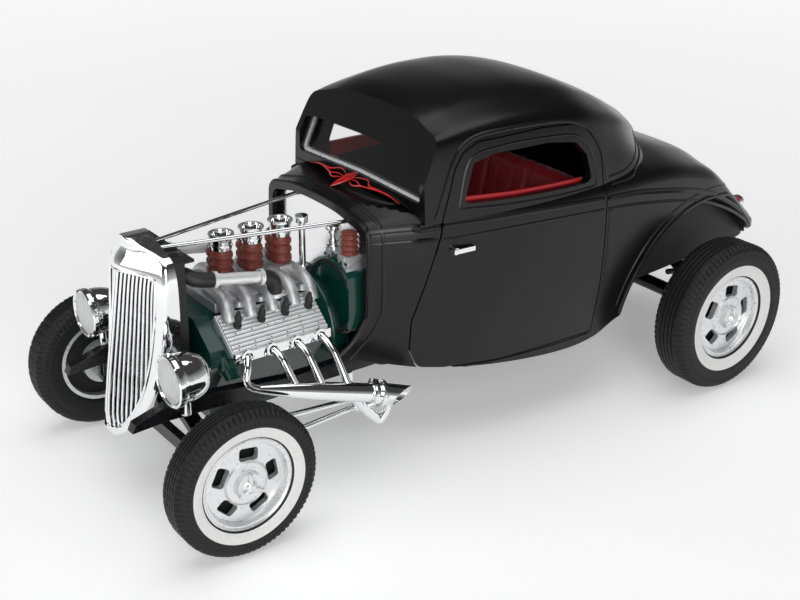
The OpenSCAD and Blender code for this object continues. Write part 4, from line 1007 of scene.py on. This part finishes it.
class HOTROD_OT_wheels(bpy.types.Operator):
    """Add the whitewall tyres and slotted wheels"""
    bl_idname = "hotrod.wheels"
    bl_label = "Wheels and Tyres"

    def execute(self, context):
        for end, r, w, rim, wall in TYRES:
            for name, m in SIDES:
                low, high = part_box(f"tyre_{end}_{name}")
                centre = tuple((a + b) / 2 / MM for a, b in zip(low, high))
                body = f"wheel_{end}_{name}"
                piece(f"tyre_{end}_{name}_finish", tyre_part(r, w, rim, wall, m, centre),
                      [FINISHES["rubber"], FINISHES["white"]], body, [f"tyre_{end}_{name}"], angle=28)
                half = w * RIM_SHARE
                lip = lathe([(rim - 0.75, half - 0.15), (rim - 0.1, half + 0.25), (rim + 0.35, half + 0.1),
                             (rim + 0.3, half - 0.3), (rim - 0.4, half - 0.5)], (m, 0, 0), centre, closed=True)
                ring = lathe([(rim * 0.44, half - 0.85), (rim * 0.47, half - 0.45), (rim * 0.5, half - 1.0)],
                             (m, 0, 0), centre, closed=True)
                # Dark disc set inside the wheel: painted shade behind the slots.
                shade = lathe([(0, half - 4.6), (rim - 1.2, half - 4.6), (rim - 1.2, half - 4.4), (0, half - 4.4)],
                              (m, 0, 0), centre, steps=64)
                dress(f"wheel_{end}_{name}", [FINISHES["silver"], FINISHES["painted_shade"]], bevel=0.14,
                      extra=[lip, ring, painted(shade, 1), *spinner(m, centre, half + 1.0)])
        return {"FINISHED"}


# ---------- front end ----------

SHELL_HALF = [(17.6, 2), (19, 4.4), (22, 7.6), (26, 10), (31.5, 12), (40, 13.6), (48, 14.4), (56, 14.7), (61, 14.3),
              (63.6, 13.4), (65, 12.2), (66.2, 9.2), (67.8, 4.8), (69.2, 1.2)]
SHELL_EDGE = [(17.6, -13.8), (22, -11.4), (31, -7.8), (45, -5.4), (58, -4.2), (63, -3.4), (65, -3), (66.4, -4.2),
              (67.8, -6), (69.2, -7.1)]
SHELL_RIDGE = [(17.6, -14.4), (21, -16), (31, -15.1), (45, -12.8), (61, -10.2), (63, -9.8), (66.2, -8), (69.2, -7.4)]
SHELL_TOP = 69.2
OPENING_TOP = 61.2
SHELL_RIM = 2.3
SHELL_BACK = -0.6
BAR_PITCH = 1.1
BARS = 10
LAMP_X, LAMP_AHEAD, LAMP_Z = 23.5, 9.2, 40.4
LENS_R = 5.75


def shell_slice(z, t, push, crisp):
    """Level slice of the grille shell, drawn in by t and pushed ahead by push."""
    w = along(SHELL_HALF, z) - t
    e, r = along(SHELL_EDGE, z) - push, along(SHELL_RIDGE, z) - push
    back = SHELL_BACK + (6 if t else 0)
    middle = (w * 0.5, (e + r) / 2 - 0.5)
    if crisp:
        half = [(w, back), (w, e), middle, (0, r)]
    else:
        near = (w - 0.28 * (w - middle[0]), e + 0.28 * (middle[1] - e))
        half = smooth([(w, back), (w, min(e + 2.4, back - 0.5)), (w, e), near, middle, (w * 0.12, r + 0.1), (0, r)], 7)
    return mirrored([(x, y + FRONT_Y, z) for x, y in half])


def shell_front(x, z):
    """How far ahead the face of the shell lies at x and z."""
    w = along(SHELL_HALF, z)
    u = min(abs(x) / w, 1)
    return along(SHELL_RIDGE, z) * (1 - u) + along(SHELL_EDGE, z) * u + FRONT_Y


class HOTROD_OT_front(bpy.types.Operator):
    """Add the grille, radiator, headlights and stays"""
    bl_idname = "hotrod.front"
    bl_label = "Grille and Headlights"

    def execute(self, context):
        chrome = FINISHES["chrome"]
        levels = spaced(17.6, 24, 0.5) + spaced(24, 60, 1.5) + spaced(60, SHELL_TOP, 0.35) + [SHELL_TOP]
        shell = skinned([shell_slice(z, 0, 0, False) for z in levels])
        hole = skinned([shell_slice(z, SHELL_RIM, 4, True) for z in [20.4] + spaced(22, 60, 2) + [60.4, OPENING_TOP]])
        opened = carve(shell, (CUT, hole))
        edge = [(along(SHELL_HALF, z) - SHELL_RIM - 0.1, z) for z in [21.4] + spaced(23, 59, 2) + [59.4, 60.4]]
        line = [(x, shell_front(x, z) - 0.12, z) for x, z in edge]
        line += [(x, shell_front(x, OPENING_TOP) - 0.12, OPENING_TOP + 0.1) for x in (10, 7, 4, 1, -1, -4, -7, -10)]
        line += [(-x, y, z) for x, y, z in reversed(line[:len(edge)])]
        insert = tube(line, 0.42, closed=True, sides=3)
        piece("grille_shell_finish", joined(opened, insert), chrome, "chassis", ["grille_shell"], angle=40)
        bars = []
        for k in range(BARS):
            x = 0.6 + BAR_PITCH * k
            foot = next(z / 4 for z in range(82, 240) if along(SHELL_HALF, z / 4) - SHELL_RIM > x + 0.3)
            heights = [foot + (OPENING_TOP - foot) * i / 12 for i in range(13)]
            for m in (1, -1):
                line = [(x * m, shell_front(x, z) + 0.75, z) for z in heights]
                bars.append(tube(line, 0.36, sides=3))
        piece("grille_bars_finish", joined(*bars), chrome, "chassis", ["grille_bars"], angle=50)
        core = [box((-11.2, FRONT_Y - 3.4, 28 + k * 1.0), (11.2, FRONT_Y - 3.05, 28.45 + k * 1.0)) for k in range(34)]
        # Flat dark disc on the radiator top: painted shade in the filler opening.
        filler_shade = lathe([(0, 0), (1.3, 0), (1.3, 0.06), (0, 0.06)], UP, (6.8, FRONT_Y + 2.6, 64.0), steps=32)
        dress("radiator", FINISHES["frame"], bevel=0.2, extra=core)
        piece("radiator_filler_shade", filler_shade, FINISHES["painted_shade"], "chassis")
        dress("support_rods", chrome, bevel=0)
        rims, lenses = [], []
        for m in (1, -1):
            x, y, z = LAMP_X * m, FRONT_Y - LAMP_AHEAD, LAMP_Z
            rims.append(lathe([(5.5, 0.9), (5.9, 0.1), (6.3, -0.15), (6.62, 0.2), (6.62, 1.2), (6.3, 1.8)], BACK,
                              (x, y, z), steps=96, closed=True))
            rims.append(lathe([(0, 0), (0.5, 0), (0.45, 0.8), (0, 0.95)], BACK, (x, y + 10.3, z), steps=24))

            def fluted(i, j):
                d = LENS_R * i / 20
                q = 2 * pi * j / 120
                flute = 0.09 * cos(2 * pi * d * cos(q) / 1.15) * min(1, (LENS_R - d) / 0.6)
                bulge = 1.15 * (1 - (d / LENS_R) ** 2) + flute
                return x + d * cos(q), y + 0.35 - bulge, z + d * sin(q)

            lenses.append(close(lattice(21, 120, fluted, wrap=True)))
        dress("headlights", chrome, bevel=0, extra=rims)
        piece("headlight_lenses", joined(*lenses), FINISHES["lens"], "chassis", angle=80)
        dress("headlight_stands", chrome, bevel=0.1)
        return {"FINISHED"}


# ---------- engine and plumbing ----------

HEAD_LOW, HEAD_HIGH = (19, 39), (10.4, 46.2)
FINS = 10
HORN_Y = 3.15
HORN_PITCH = 8.6
DRUM_X, DRUM_Z, DRUM_R = 13.5, 45.3, 10.4
DRUM_BEHIND = 19
CASTING_TOP = 57.4
BELL_R, BELL_Z = 16.1, 33.2
HOSE_R = 1.9
PIPE_R = 1.5
PORT_PITCH = 7
PORT_Z = 39.6
PRIMARY_R = 1.0
COLLECTOR_R = 2.4


def head_parts(m):
    """Finned cover, bolts and plug boots of one bank."""
    low, high = Vector(HEAD_LOW), Vector(HEAD_HIGH)
    run = (low - high).length
    down = (low - high).normalized()
    out = Vector((-down.y, down.x))

    def place(u, v, y):
        p = high + down * u + out * v
        return Vector((p.x * m, ENGINE_Y + y, p.y))

    def block(u0, u1, v0, v1, y0, y1):
        bm = bmesh.new()
        bmesh.ops.create_cube(bm, size=1)
        for v in bm.verts:
            u = u0 + (u1 - u0) * (v.co.x + 0.5)
            w = v0 + (v1 - v0) * (v.co.z + 0.5)
            v.co = place(u, w, y0 + (y1 - y0) * (v.co.y + 0.5))
        bmesh.ops.recalc_face_normals(bm, faces=bm.faces)
        round_edges(bm, bm.edges[:], 0.16)
        return bm

    metal = [block(-0.2, run + 0.2, 0, 1.5, -13.75, 13.75)]
    # Dark strip under the fins: painted shade at the bottom of the grooves between them.
    shade = block(0.1, run - 0.1, 1.4, 1.62, -13.4, 13.4)
    pitch = (run - 0.3) / FINS
    for k in range(FINS):
        u = 0.15 + pitch * (k + 0.5)
        metal.append(block(u - pitch * 0.41, u + pitch * 0.41, 1.5, 2.3, -13.6, 13.6))
    normal = place(0, 1, 0) - place(0, 0, 0)
    # The bolt heads take the same dark finish.
    dots = []
    for row, shift in ((2.5, 0), (5.5, 1), (8.5, 0.4), (9.5, 0)):
        for k in range(6):
            at = place(0.15 + pitch * row, 2.2, -12 + k * 4.6 + shift)
            dots.append(lathe([(0, 0.18), (0.2, 0.16), (0.26, 0), (0, 0)], normal, at, steps=10))
    boot = [(0, 4.4), (0.4, 4.3), (0.6, 3.8), (0.72, 3), (0.95, 2.7), (1.02, 1.4), (0.85, 0.6), (1.1, 0.4),
            (1.1, -0.3), (0, -0.3)]
    rubber = [lathe(boot, (0.24 * m, 0, 0.97), place(run * 0.38, 2.2, y), steps=24) for y in (-9.6, -2.8, 4.1, 11)]
    return metal + [painted(bm, 1) for bm in [shade] + dots], rubber


class HOTROD_OT_engine(bpy.types.Operator):
    """Add the block, heads, induction and bell housing"""
    bl_idname = "hotrod.engine"
    bl_label = "Engine"

    def execute(self, context):
        green, cast, chrome = FINISHES["green"], FINISHES["cast"], FINISHES["chrome"]
        front = ENGINE_Y - 12.6
        corners = [tube([(9.6 * m, front, 43.4), (12 * m, front, 41), (17 * m, front, 35.2), (18 * m, front + 0.2, 33)],
                        3.5, sides=12, radii=[0.9, 1, 1, 0.8]) for m in (1, -1)]
        dress("engine_block", green, bevel=0.7, angle=14, extra=corners)
        dress("bell_housing", green, bevel=0.5, angle=20)
        metal, rubber = [left + right for left, right in zip(head_parts(1), head_parts(-1))]
        piece("cylinder_head_covers", joined(*metal), [FINISHES["alloy"], FINISHES["groove_shade_and_bolts"]], "chassis",
              ["cylinder_heads"])
        piece("plug_boots", joined(*rubber), FINISHES["hose"], "chassis", angle=40)
        runners = []
        for y in [ENGINE_Y + d for d in (-10.5, -4.4, 1.8, 8, 13.4)]:
            for m in (1, -1):
                guide = [(2.5 * m, y, 51), (8 * m, y, 51.4), (13.2 * m, y - 0.5, 49.8), (14.4 * m, y - 0.8, 46.4)]
                runners.append(tube(smooth(guide, 6), 1.75, sides=6))
        stud = [(0, 0.9), (0.5, 0.85), (0.75, 0.5), (0.75, 0), (1.2, -0.2), (0, -0.2)]
        for y in (-7.4, -1.3, 4.9, 10.8):
            runners += [lathe(stud, UP, (12.6 * m, ENGINE_Y + y, 49.3), steps=16) for m in (1, -1)]
        dress("intake_manifold", cast, bevel=0.7, extra=runners)
        dress("throttle_bodies", FINISHES["boot"], bevel=0.22, angle=50)
        horn_shade, tops = [], []
        for y in (HORN_Y - HORN_PITCH, HORN_Y, HORN_Y + HORN_PITCH):
            # Flat dark discs down inside the horns: painted shade in their throats.
            for x, z, r in ((1.3, 61.3, 1.75), (-1.3, 60.25, 1.7)):
                horn_shade.append(lathe([(0, 0), (r, 0), (r, 0.05), (0, 0.05)], UP, (x, ENGINE_Y + y, z), steps=32))
            for x, z, ring in ((-1.3, 60.1, [(1.7, 0), (2.5, 0), (2.6, 0.4), (2.2, 0.7), (1.75, 0.4)]),
                               (1.3, 63.7, [(2.9, 0), (3.35, 0.25), (3.35, 0.55), (2.9, 0.75), (2.7, 0.4)]),
                               (1.3, 60.9, [(2.55, 0), (2.85, 0.2), (2.85, 0.6), (2.55, 0.8)])):
                tops.append(lathe(ring, UP, (x, ENGINE_Y + y, z), steps=40, closed=True))
        dress("intake_horns", chrome, bevel=0.1, extra=tops)
        piece("intake_horn_shade", joined(*horn_shade), FINISHES["painted_shade"], "chassis")
        dress("fuel_pump", chrome, bevel=0.14)
        self.bell_cover()
        return {"FINISHED"}

    def bell_cover(self):
        """Round green cover with a dark ring at its rim that is painted shade, and a ribbed casting that carries a
        column and a boot.
        """
        x, y, z = DRUM_X, ENGINE_Y + DRUM_BEHIND, DRUM_Z

        def trimmed(profile):
            """Round part about the drum's axis, cut off flat at its side and where the bell housing stands."""
            whole = mesh_from(lathe(profile, BACK, (x, y, z), steps=120, closed=True))
            bell = lathe([(0, -2), (BELL_R, -2), (BELL_R, 9), (0, 9)], BACK, (0, y, BELL_Z), steps=120, closed=True)
            return carve(whole, (MEET, box((0, y - 1, 20), (21, y + 8, 70))), (CUT, mesh_from(bell)))

        green = trimmed([(0, 0.5), (8.6, 0.5), (9, 0), (9.9, 0), (DRUM_R, 0.5), (DRUM_R, 6.15), (0, 6.15)])
        # Thin dark ring on the cover's front face at its rim: painted shade of the gap around the cover.
        rim = trimmed([(9.1, -0.25), (9.9, -0.25), (9.9, 0.1), (9.1, 0.1)])
        back = y + 6.2
        grey = [box((8.4, y + 0.8, 52.4), (19.6, back, 54.6)), box((9.4, y + 1.4, 54.4), (19.2, back, CASTING_TOP)),
                box((8.9, y + 1.1, 55.2), (19.5, back, 56))]
        grey += [box((10.2 + k * 1.8, y + 0.9, 54.4), (10.9 + k * 1.8, y + 6, 57.1)) for k in range(5)]
        whole = joined(green, rim, *grey)
        for f in whole.faces:
            p = f.calc_center_median()
            reach = hypot(p.x - x, p.z - z)
            in_rim_shade = p.y < y - 0.02 and reach < 10
            on_casting = p.z > 52.3 and p.y > y + 0.6 and reach > 7 and (abs(reach - DRUM_R) > 0.1 or p.z > 55.8)
            f.material_index = 1 if in_rim_shade else 2 if on_casting else 0
        piece("bell_cover_finish", whole, [FINISHES["green"], FINISHES["painted_shade"], FINISHES["cast"]], "chassis",
              ["bell_cover"], bevel=0.12)
        post = (10.4, y + 3, CASTING_TOP)
        piece("bell_column", lathe([(0, 0), (1.7, 0), (1.7, 0.5), (1.2, 0.7), (1.2, 2), (0.85, 2.4), (0.85, 3.6),
                                    (1.25, 3.9), (1.25, 4.6), (2, 5), (2.1, 5.5), (1.9, 6), (1.3, 6.2), (0, 6.2)],
                                   (0, 0, 1), post, steps=40), FINISHES["chrome"], "chassis")
        ribs = [(2.05 + 0.22 * cos(2 * pi * k / 6), 0.05 + k * 0.25) for k in range(24)]
        piece("rear_intake_boot", lathe([(0, 0), *ribs, (1.6, 6), (0, 6)], UP, (16.8, y + 3.7, CASTING_TOP), steps=40),
              FINISHES["boot"], "chassis")


def header_parts(m):
    """Pipes of one bank with their collector, cut-off spout and branch, and a dark disc of painted shade in the bore of
    the spout.
    """

    def at(x, y, z):
        return Vector((x * m, y + ENGINE_Y, z))

    def stem(points, radius, shrink):
        return tube(smooth([tuple(p) for p in points], 6), radius, sides=6, radii=shrink)

    a, b, end = at(25.6, -11, 32.6), at(32.4, 20, 24.9), at(34.8, 30.8, 21.4)
    near, far = sorted((20.0 * m, 21.2 * m))
    parts = [box([near, ENGINE_Y - 13.75, 38.2], [far, ENGINE_Y + 13.75, 40.6])]
    for k in range(4):
        y = (k - 1.5) * PORT_PITCH
        join = a + (b - a) * (0.06 if k == 0 else 0.12 + 0.22 * k)
        low = a - (b - a) * 0.1 if k == 0 else at(25.4 + 0.9 * k, y + 1.2, 36.6 - 0.7 * k)
        line = smooth([at(20.6, y, PORT_Z), at(23.4, y + (-0.8 if k == 0 else 0.5), 39.2), low, join], 12)
        parts.append(tube(line, PRIMARY_R, sides=7))
        parts.append(lathe([(1.2, 0), (1.75, 0), (1.75, 0.8), (1.2, 0.9)], (m, 0, 0), at(20.9, y, PORT_Z), steps=32,
                           closed=True))
    parts.append(tube([tuple(a + (b - a) * t) for t in (0.02, 0.1, 0.2, 0.3, 0.45, 0.7, 1)], COLLECTOR_R, sides=9,
                      radii=[0.42, 0.55, 0.72, 0.85, 0.96, 1.02, 1.06]))
    way, length = (end - b).normalized(), (end - b).length
    facing = Vector((m * 0.9, 0, -0.45))
    out = (facing - way * way.dot(facing)).normalized()
    across = way.cross(out)
    spout = mesh_from(lathe([(2.45, 0), (2.85, 0.5), (2.95, length), (2.6, length), (2.45, length * 0.4), (2.1, 0)],
                            way, b, steps=64, closed=True))
    scarf = slab([(3.4, 3.2), (length + 0.1, -3.1), (length + 4, -3.1), (length + 4, 6), (3.4, 6)],
                 lambda d, q: tuple(b + way * d + out * q - across * 5), tuple(across * 10))
    parts.append(carve(spout, (CUT, scarf)))
    # Dark disc set down inside the spout: painted shade in its bore.
    bore_shade = lathe([(0, 1.9), (2.35, 1.9), (2.35, 2), (0, 2)], way, b, steps=48)
    for d in (-1.5, 0.7):
        parts.append(lathe([(2.6, d), (3.6, d), (3.6, d + 0.8), (2.6, d + 0.8)], way, b, steps=64, closed=True))
    side = way.orthogonal().normalized()
    for k in range(3):
        spot = b + Matrix.Rotation(radians(40 + 120 * k), 3, way) @ side * 3.25
        parts.append(lathe([(0, 1.9), (0.4, 1.8), (0.4, -1.9), (0, -2.0)], way, spot, steps=10))
    low = at(31.4, 21.6, 16)
    parts.append(stem([a + (b - a) * 0.78, at(30.4, 17.6, 20), low], 1.5, [1, 1, 1, 0.95, 0.9, 0.85, 0.8]))
    parts.append(stem([low, at(32.6, 24, 18.6), b + way * 4], 1.2, [1, 0.95, 0.9, 0.85, 0.8, 0.8, 0.8]))
    return parts, bore_shade


class HOTROD_OT_plumbing(bpy.types.Operator):
    """Add the coolant hoses and the exhaust headers"""
    bl_idname = "hotrod.plumbing"
    bl_label = "Hoses and Headers"

    def execute(self, context):
        black, bright = [], []
        for m in (1, -1):
            first = [(8.5 * m, -84.5, 59.4), (9.6 * m, -83.4, 59.2), (11 * m, -81.5, 58.2), (12 * m, -77.1, 57.4)]
            last = [(12.4 * m, -64.5, 55.2), (12.8 * m, -62.3, 54.6), (12.9 * m, -61, 53.0), (12.9 * m, -60.9, 48.5)]
            black += [tube(walk(line, 0.6), HOSE_R, sides=7) for line in (first, last)]
            bright.append(tube([first[-1], last[0]], PIPE_R, sides=7))
            run = Vector(last[0]) - Vector(first[-1])
            for spot, way in ((first[-1], run), (last[0], run), (Vector(last[-1]) + Vector((0, 0, 1.4)), UP)):
                bright.append(lathe([(1.85, -0.5), (2.1, -0.5), (2.1, 0.5), (1.85, 0.5)], way, spot, steps=40,
                                    closed=True))
        piece("coolant_hoses", joined(*black), FINISHES["hose"], "chassis", ["radiator_hoses"], angle=50)
        piece("coolant_pipes", joined(*bright), FINISHES["alloy"], "chassis", angle=40)
        for name, m in SIDES:
            pipes, bore_shade = header_parts(m)
            piece(f"header_{name}_finish", joined(*pipes), FINISHES["chrome"], "chassis", [f"header_{name}"],
                  angle=40)
            piece(f"header_{name}_bore", joined(bore_shade), FINISHES["painted_shade"], "chassis")
        return {"FINISHED"}


# ---------- studio ----------

CAMERA_TARGET = (25.39, -31.06, 45.01)
CAMERA_TURN = 53.497
CAMERA_RISE = 24.05
CAMERA_ROLL = 0.44
CAMERA_DISTANCE = 337.98
CAMERA_LENS = 59.1
FLOOR_LIFT = 0.3
FLOOR_LIFT_FAR = 0.7
NEAR_FLOOR = 0.15
FAR_FLOOR = 0.7
FLOOR_SIZE = 40
ROOM_LOW = 0.5
ROOM_HIGH = 0.05
ROOM_TURN = 0.5
SOFTBOXES = (("overhead_softbox", (0.05, -0.05, 0.75), (0.7, 0.9), 3.2),
             ("side_softbox", (0.8, -0.35, 0.3), (0.3, 0.7), 3.4),
             ("front_softbox", (-0.1, -0.85, 0.35), (0.4, 0.4), 1.2))


class HOTROD_OT_stage(bpy.types.Operator):
    """Add the camera, floor and soft lights"""
    bl_idname = "hotrod.stage"
    bl_label = "Stage"

    def execute(self, context):
        scene = context.scene
        scene.view_settings.view_transform = "Standard"
        camera = bpy.data.objects.new("camera", bpy.data.cameras.new("camera"))
        camera.data.lens = CAMERA_LENS
        camera.data.sensor_width = 36
        camera.data.clip_start = 0.01
        turn, rise, roll = radians(CAMERA_TURN), radians(CAMERA_RISE), radians(CAMERA_ROLL)
        back = Vector((sin(turn) * cos(rise), -cos(turn) * cos(rise), sin(rise)))
        right = (-back).cross(Vector(UP)).normalized()
        up = right.cross(-back)
        right, up = right * cos(roll) + up * sin(roll), up * cos(roll) - right * sin(roll)
        spot = (Vector(CAMERA_TARGET) + back * CAMERA_DISTANCE) * MM
        frame_axes = Matrix((right, up, back)).transposed().to_4x4()
        camera.matrix_world = Matrix.Translation(spot) @ frame_axes
        scene.collection.objects.link(camera)
        scene.camera = camera

        look = scene.hot_rod_look
        floor_finish = finish("studio_floor", tuple(look.floor_color), 0.85, spread=0.05, mottle=0.01, scale=8)
        tree = floor_finish.node_tree
        rays = shader_node(tree, "LightPath")
        seen = math_node(tree, "ADD", (rays, "Is Camera Ray"), (rays, "Is Glossy Ray"))
        passed = math_node(tree, "ADD", (seen, "Value"), (rays, "Is Transmission Ray"), clamp=True)
        reach = shader_node(tree, "VectorMath", [(0, shader_node(tree, "TexCoord"), "Object")])
        reach.operation = "LENGTH"
        rise = shader_node(tree, "MapRange", [("Value", reach, "Value")], From_Min=NEAR_FLOOR, From_Max=FAR_FLOOR,
                           To_Min=FLOOR_LIFT, To_Max=FLOOR_LIFT_FAR)
        lift = math_node(tree, "MULTIPLY", (passed, "Value"), (rise, "Result"))
        shader = tree.nodes["Principled BSDF"]
        shader.inputs["Emission Color"].default_value = (1, 1, 1, 1)
        tree.links.new(lift.outputs["Value"], shader.inputs["Emission Strength"])
        bm = bmesh.new()
        bmesh.ops.create_grid(bm, x_segments=2, y_segments=2, size=FLOOR_SIZE)
        bmesh.ops.translate(bm, verts=bm.verts, vec=(0, 0, -0.0002))
        mesh = mesh_from(bm, "studio_floor")
        mesh.materials.append(floor_finish)
        floor = bpy.data.objects.new("studio_floor", mesh)
        scene.collection.objects.link(floor)

        world = bpy.data.worlds.new("studio")
        scene.world = world
        world.use_nodes = True
        tree = world.node_tree
        tree.nodes.clear()
        split = shader_node(tree, "SeparateXYZ", [("Vector", shader_node(tree, "TexCoord"), "Generated")])
        fall = shader_node(tree, "MapRange", [("Value", split, "Z")], From_Min=0.0, From_Max=ROOM_TURN,
                           To_Min=ROOM_LOW, To_Max=ROOM_HIGH)
        light = shader_node(tree, "Background", [("Strength", fall, "Result")], Color=(1, 1, 1, 1))
        shader_node(tree, "OutputWorld", [("Surface", light, "Background")])

        for name, place, size, power in SOFTBOXES:
            lamp = bpy.data.lights.new(name, "AREA")
            lamp.shape = "RECTANGLE"
            lamp.size, lamp.size_y = size
            lamp.energy = power * look.key_power
            obj = bpy.data.objects.new(name, lamp)
            aim = Vector((0, 0, 0.03)) - Vector(place)
            obj.matrix_world = Matrix.Translation(place) @ aim.to_track_quat("-Z", "Y").to_matrix().to_4x4()
            scene.collection.objects.link(obj)
        return {"FINISHED"}


class HOTROD_PT_panel(bpy.types.Panel):
    """Lists the parts of the car and its colours"""
    bl_idname = "HOTROD_PT_panel"
    bl_label = "Hot Rod Coupe"
    bl_space_type = "VIEW_3D"
    bl_region_type = "UI"
    bl_category = "Hot Rod"

    def draw(self, context):
        column = self.layout.column()
        look = context.scene.hot_rod_look
        for name in HotRodLook.__annotations__:
            column.prop(look, name)
        for operator in PARTS:
            column.operator(operator.bl_idname)


PARTS = (HOTROD_OT_stage, HOTROD_OT_body, HOTROD_OT_interior, HOTROD_OT_chassis, HOTROD_OT_wheels, HOTROD_OT_front,
         HOTROD_OT_engine, HOTROD_OT_plumbing)
CLASSES = (HotRodLook, *PARTS, HOTROD_PT_panel)


def register():
    for item in CLASSES:
        bpy.utils.register_class(item)
    bpy.types.Scene.hot_rod_look = bpy.props.PointerProperty(type=HotRodLook)


def unregister():
    del bpy.types.Scene.hot_rod_look
    for item in reversed(CLASSES):
        bpy.utils.unregister_class(item)


def main():
    register()
    make_finishes(bpy.context.scene.hot_rod_look)
    for operator in PARTS:
        group, name = operator.bl_idname.split(".")
        getattr(getattr(bpy.ops, group), name)()


if __name__ == "__main__":
    main()
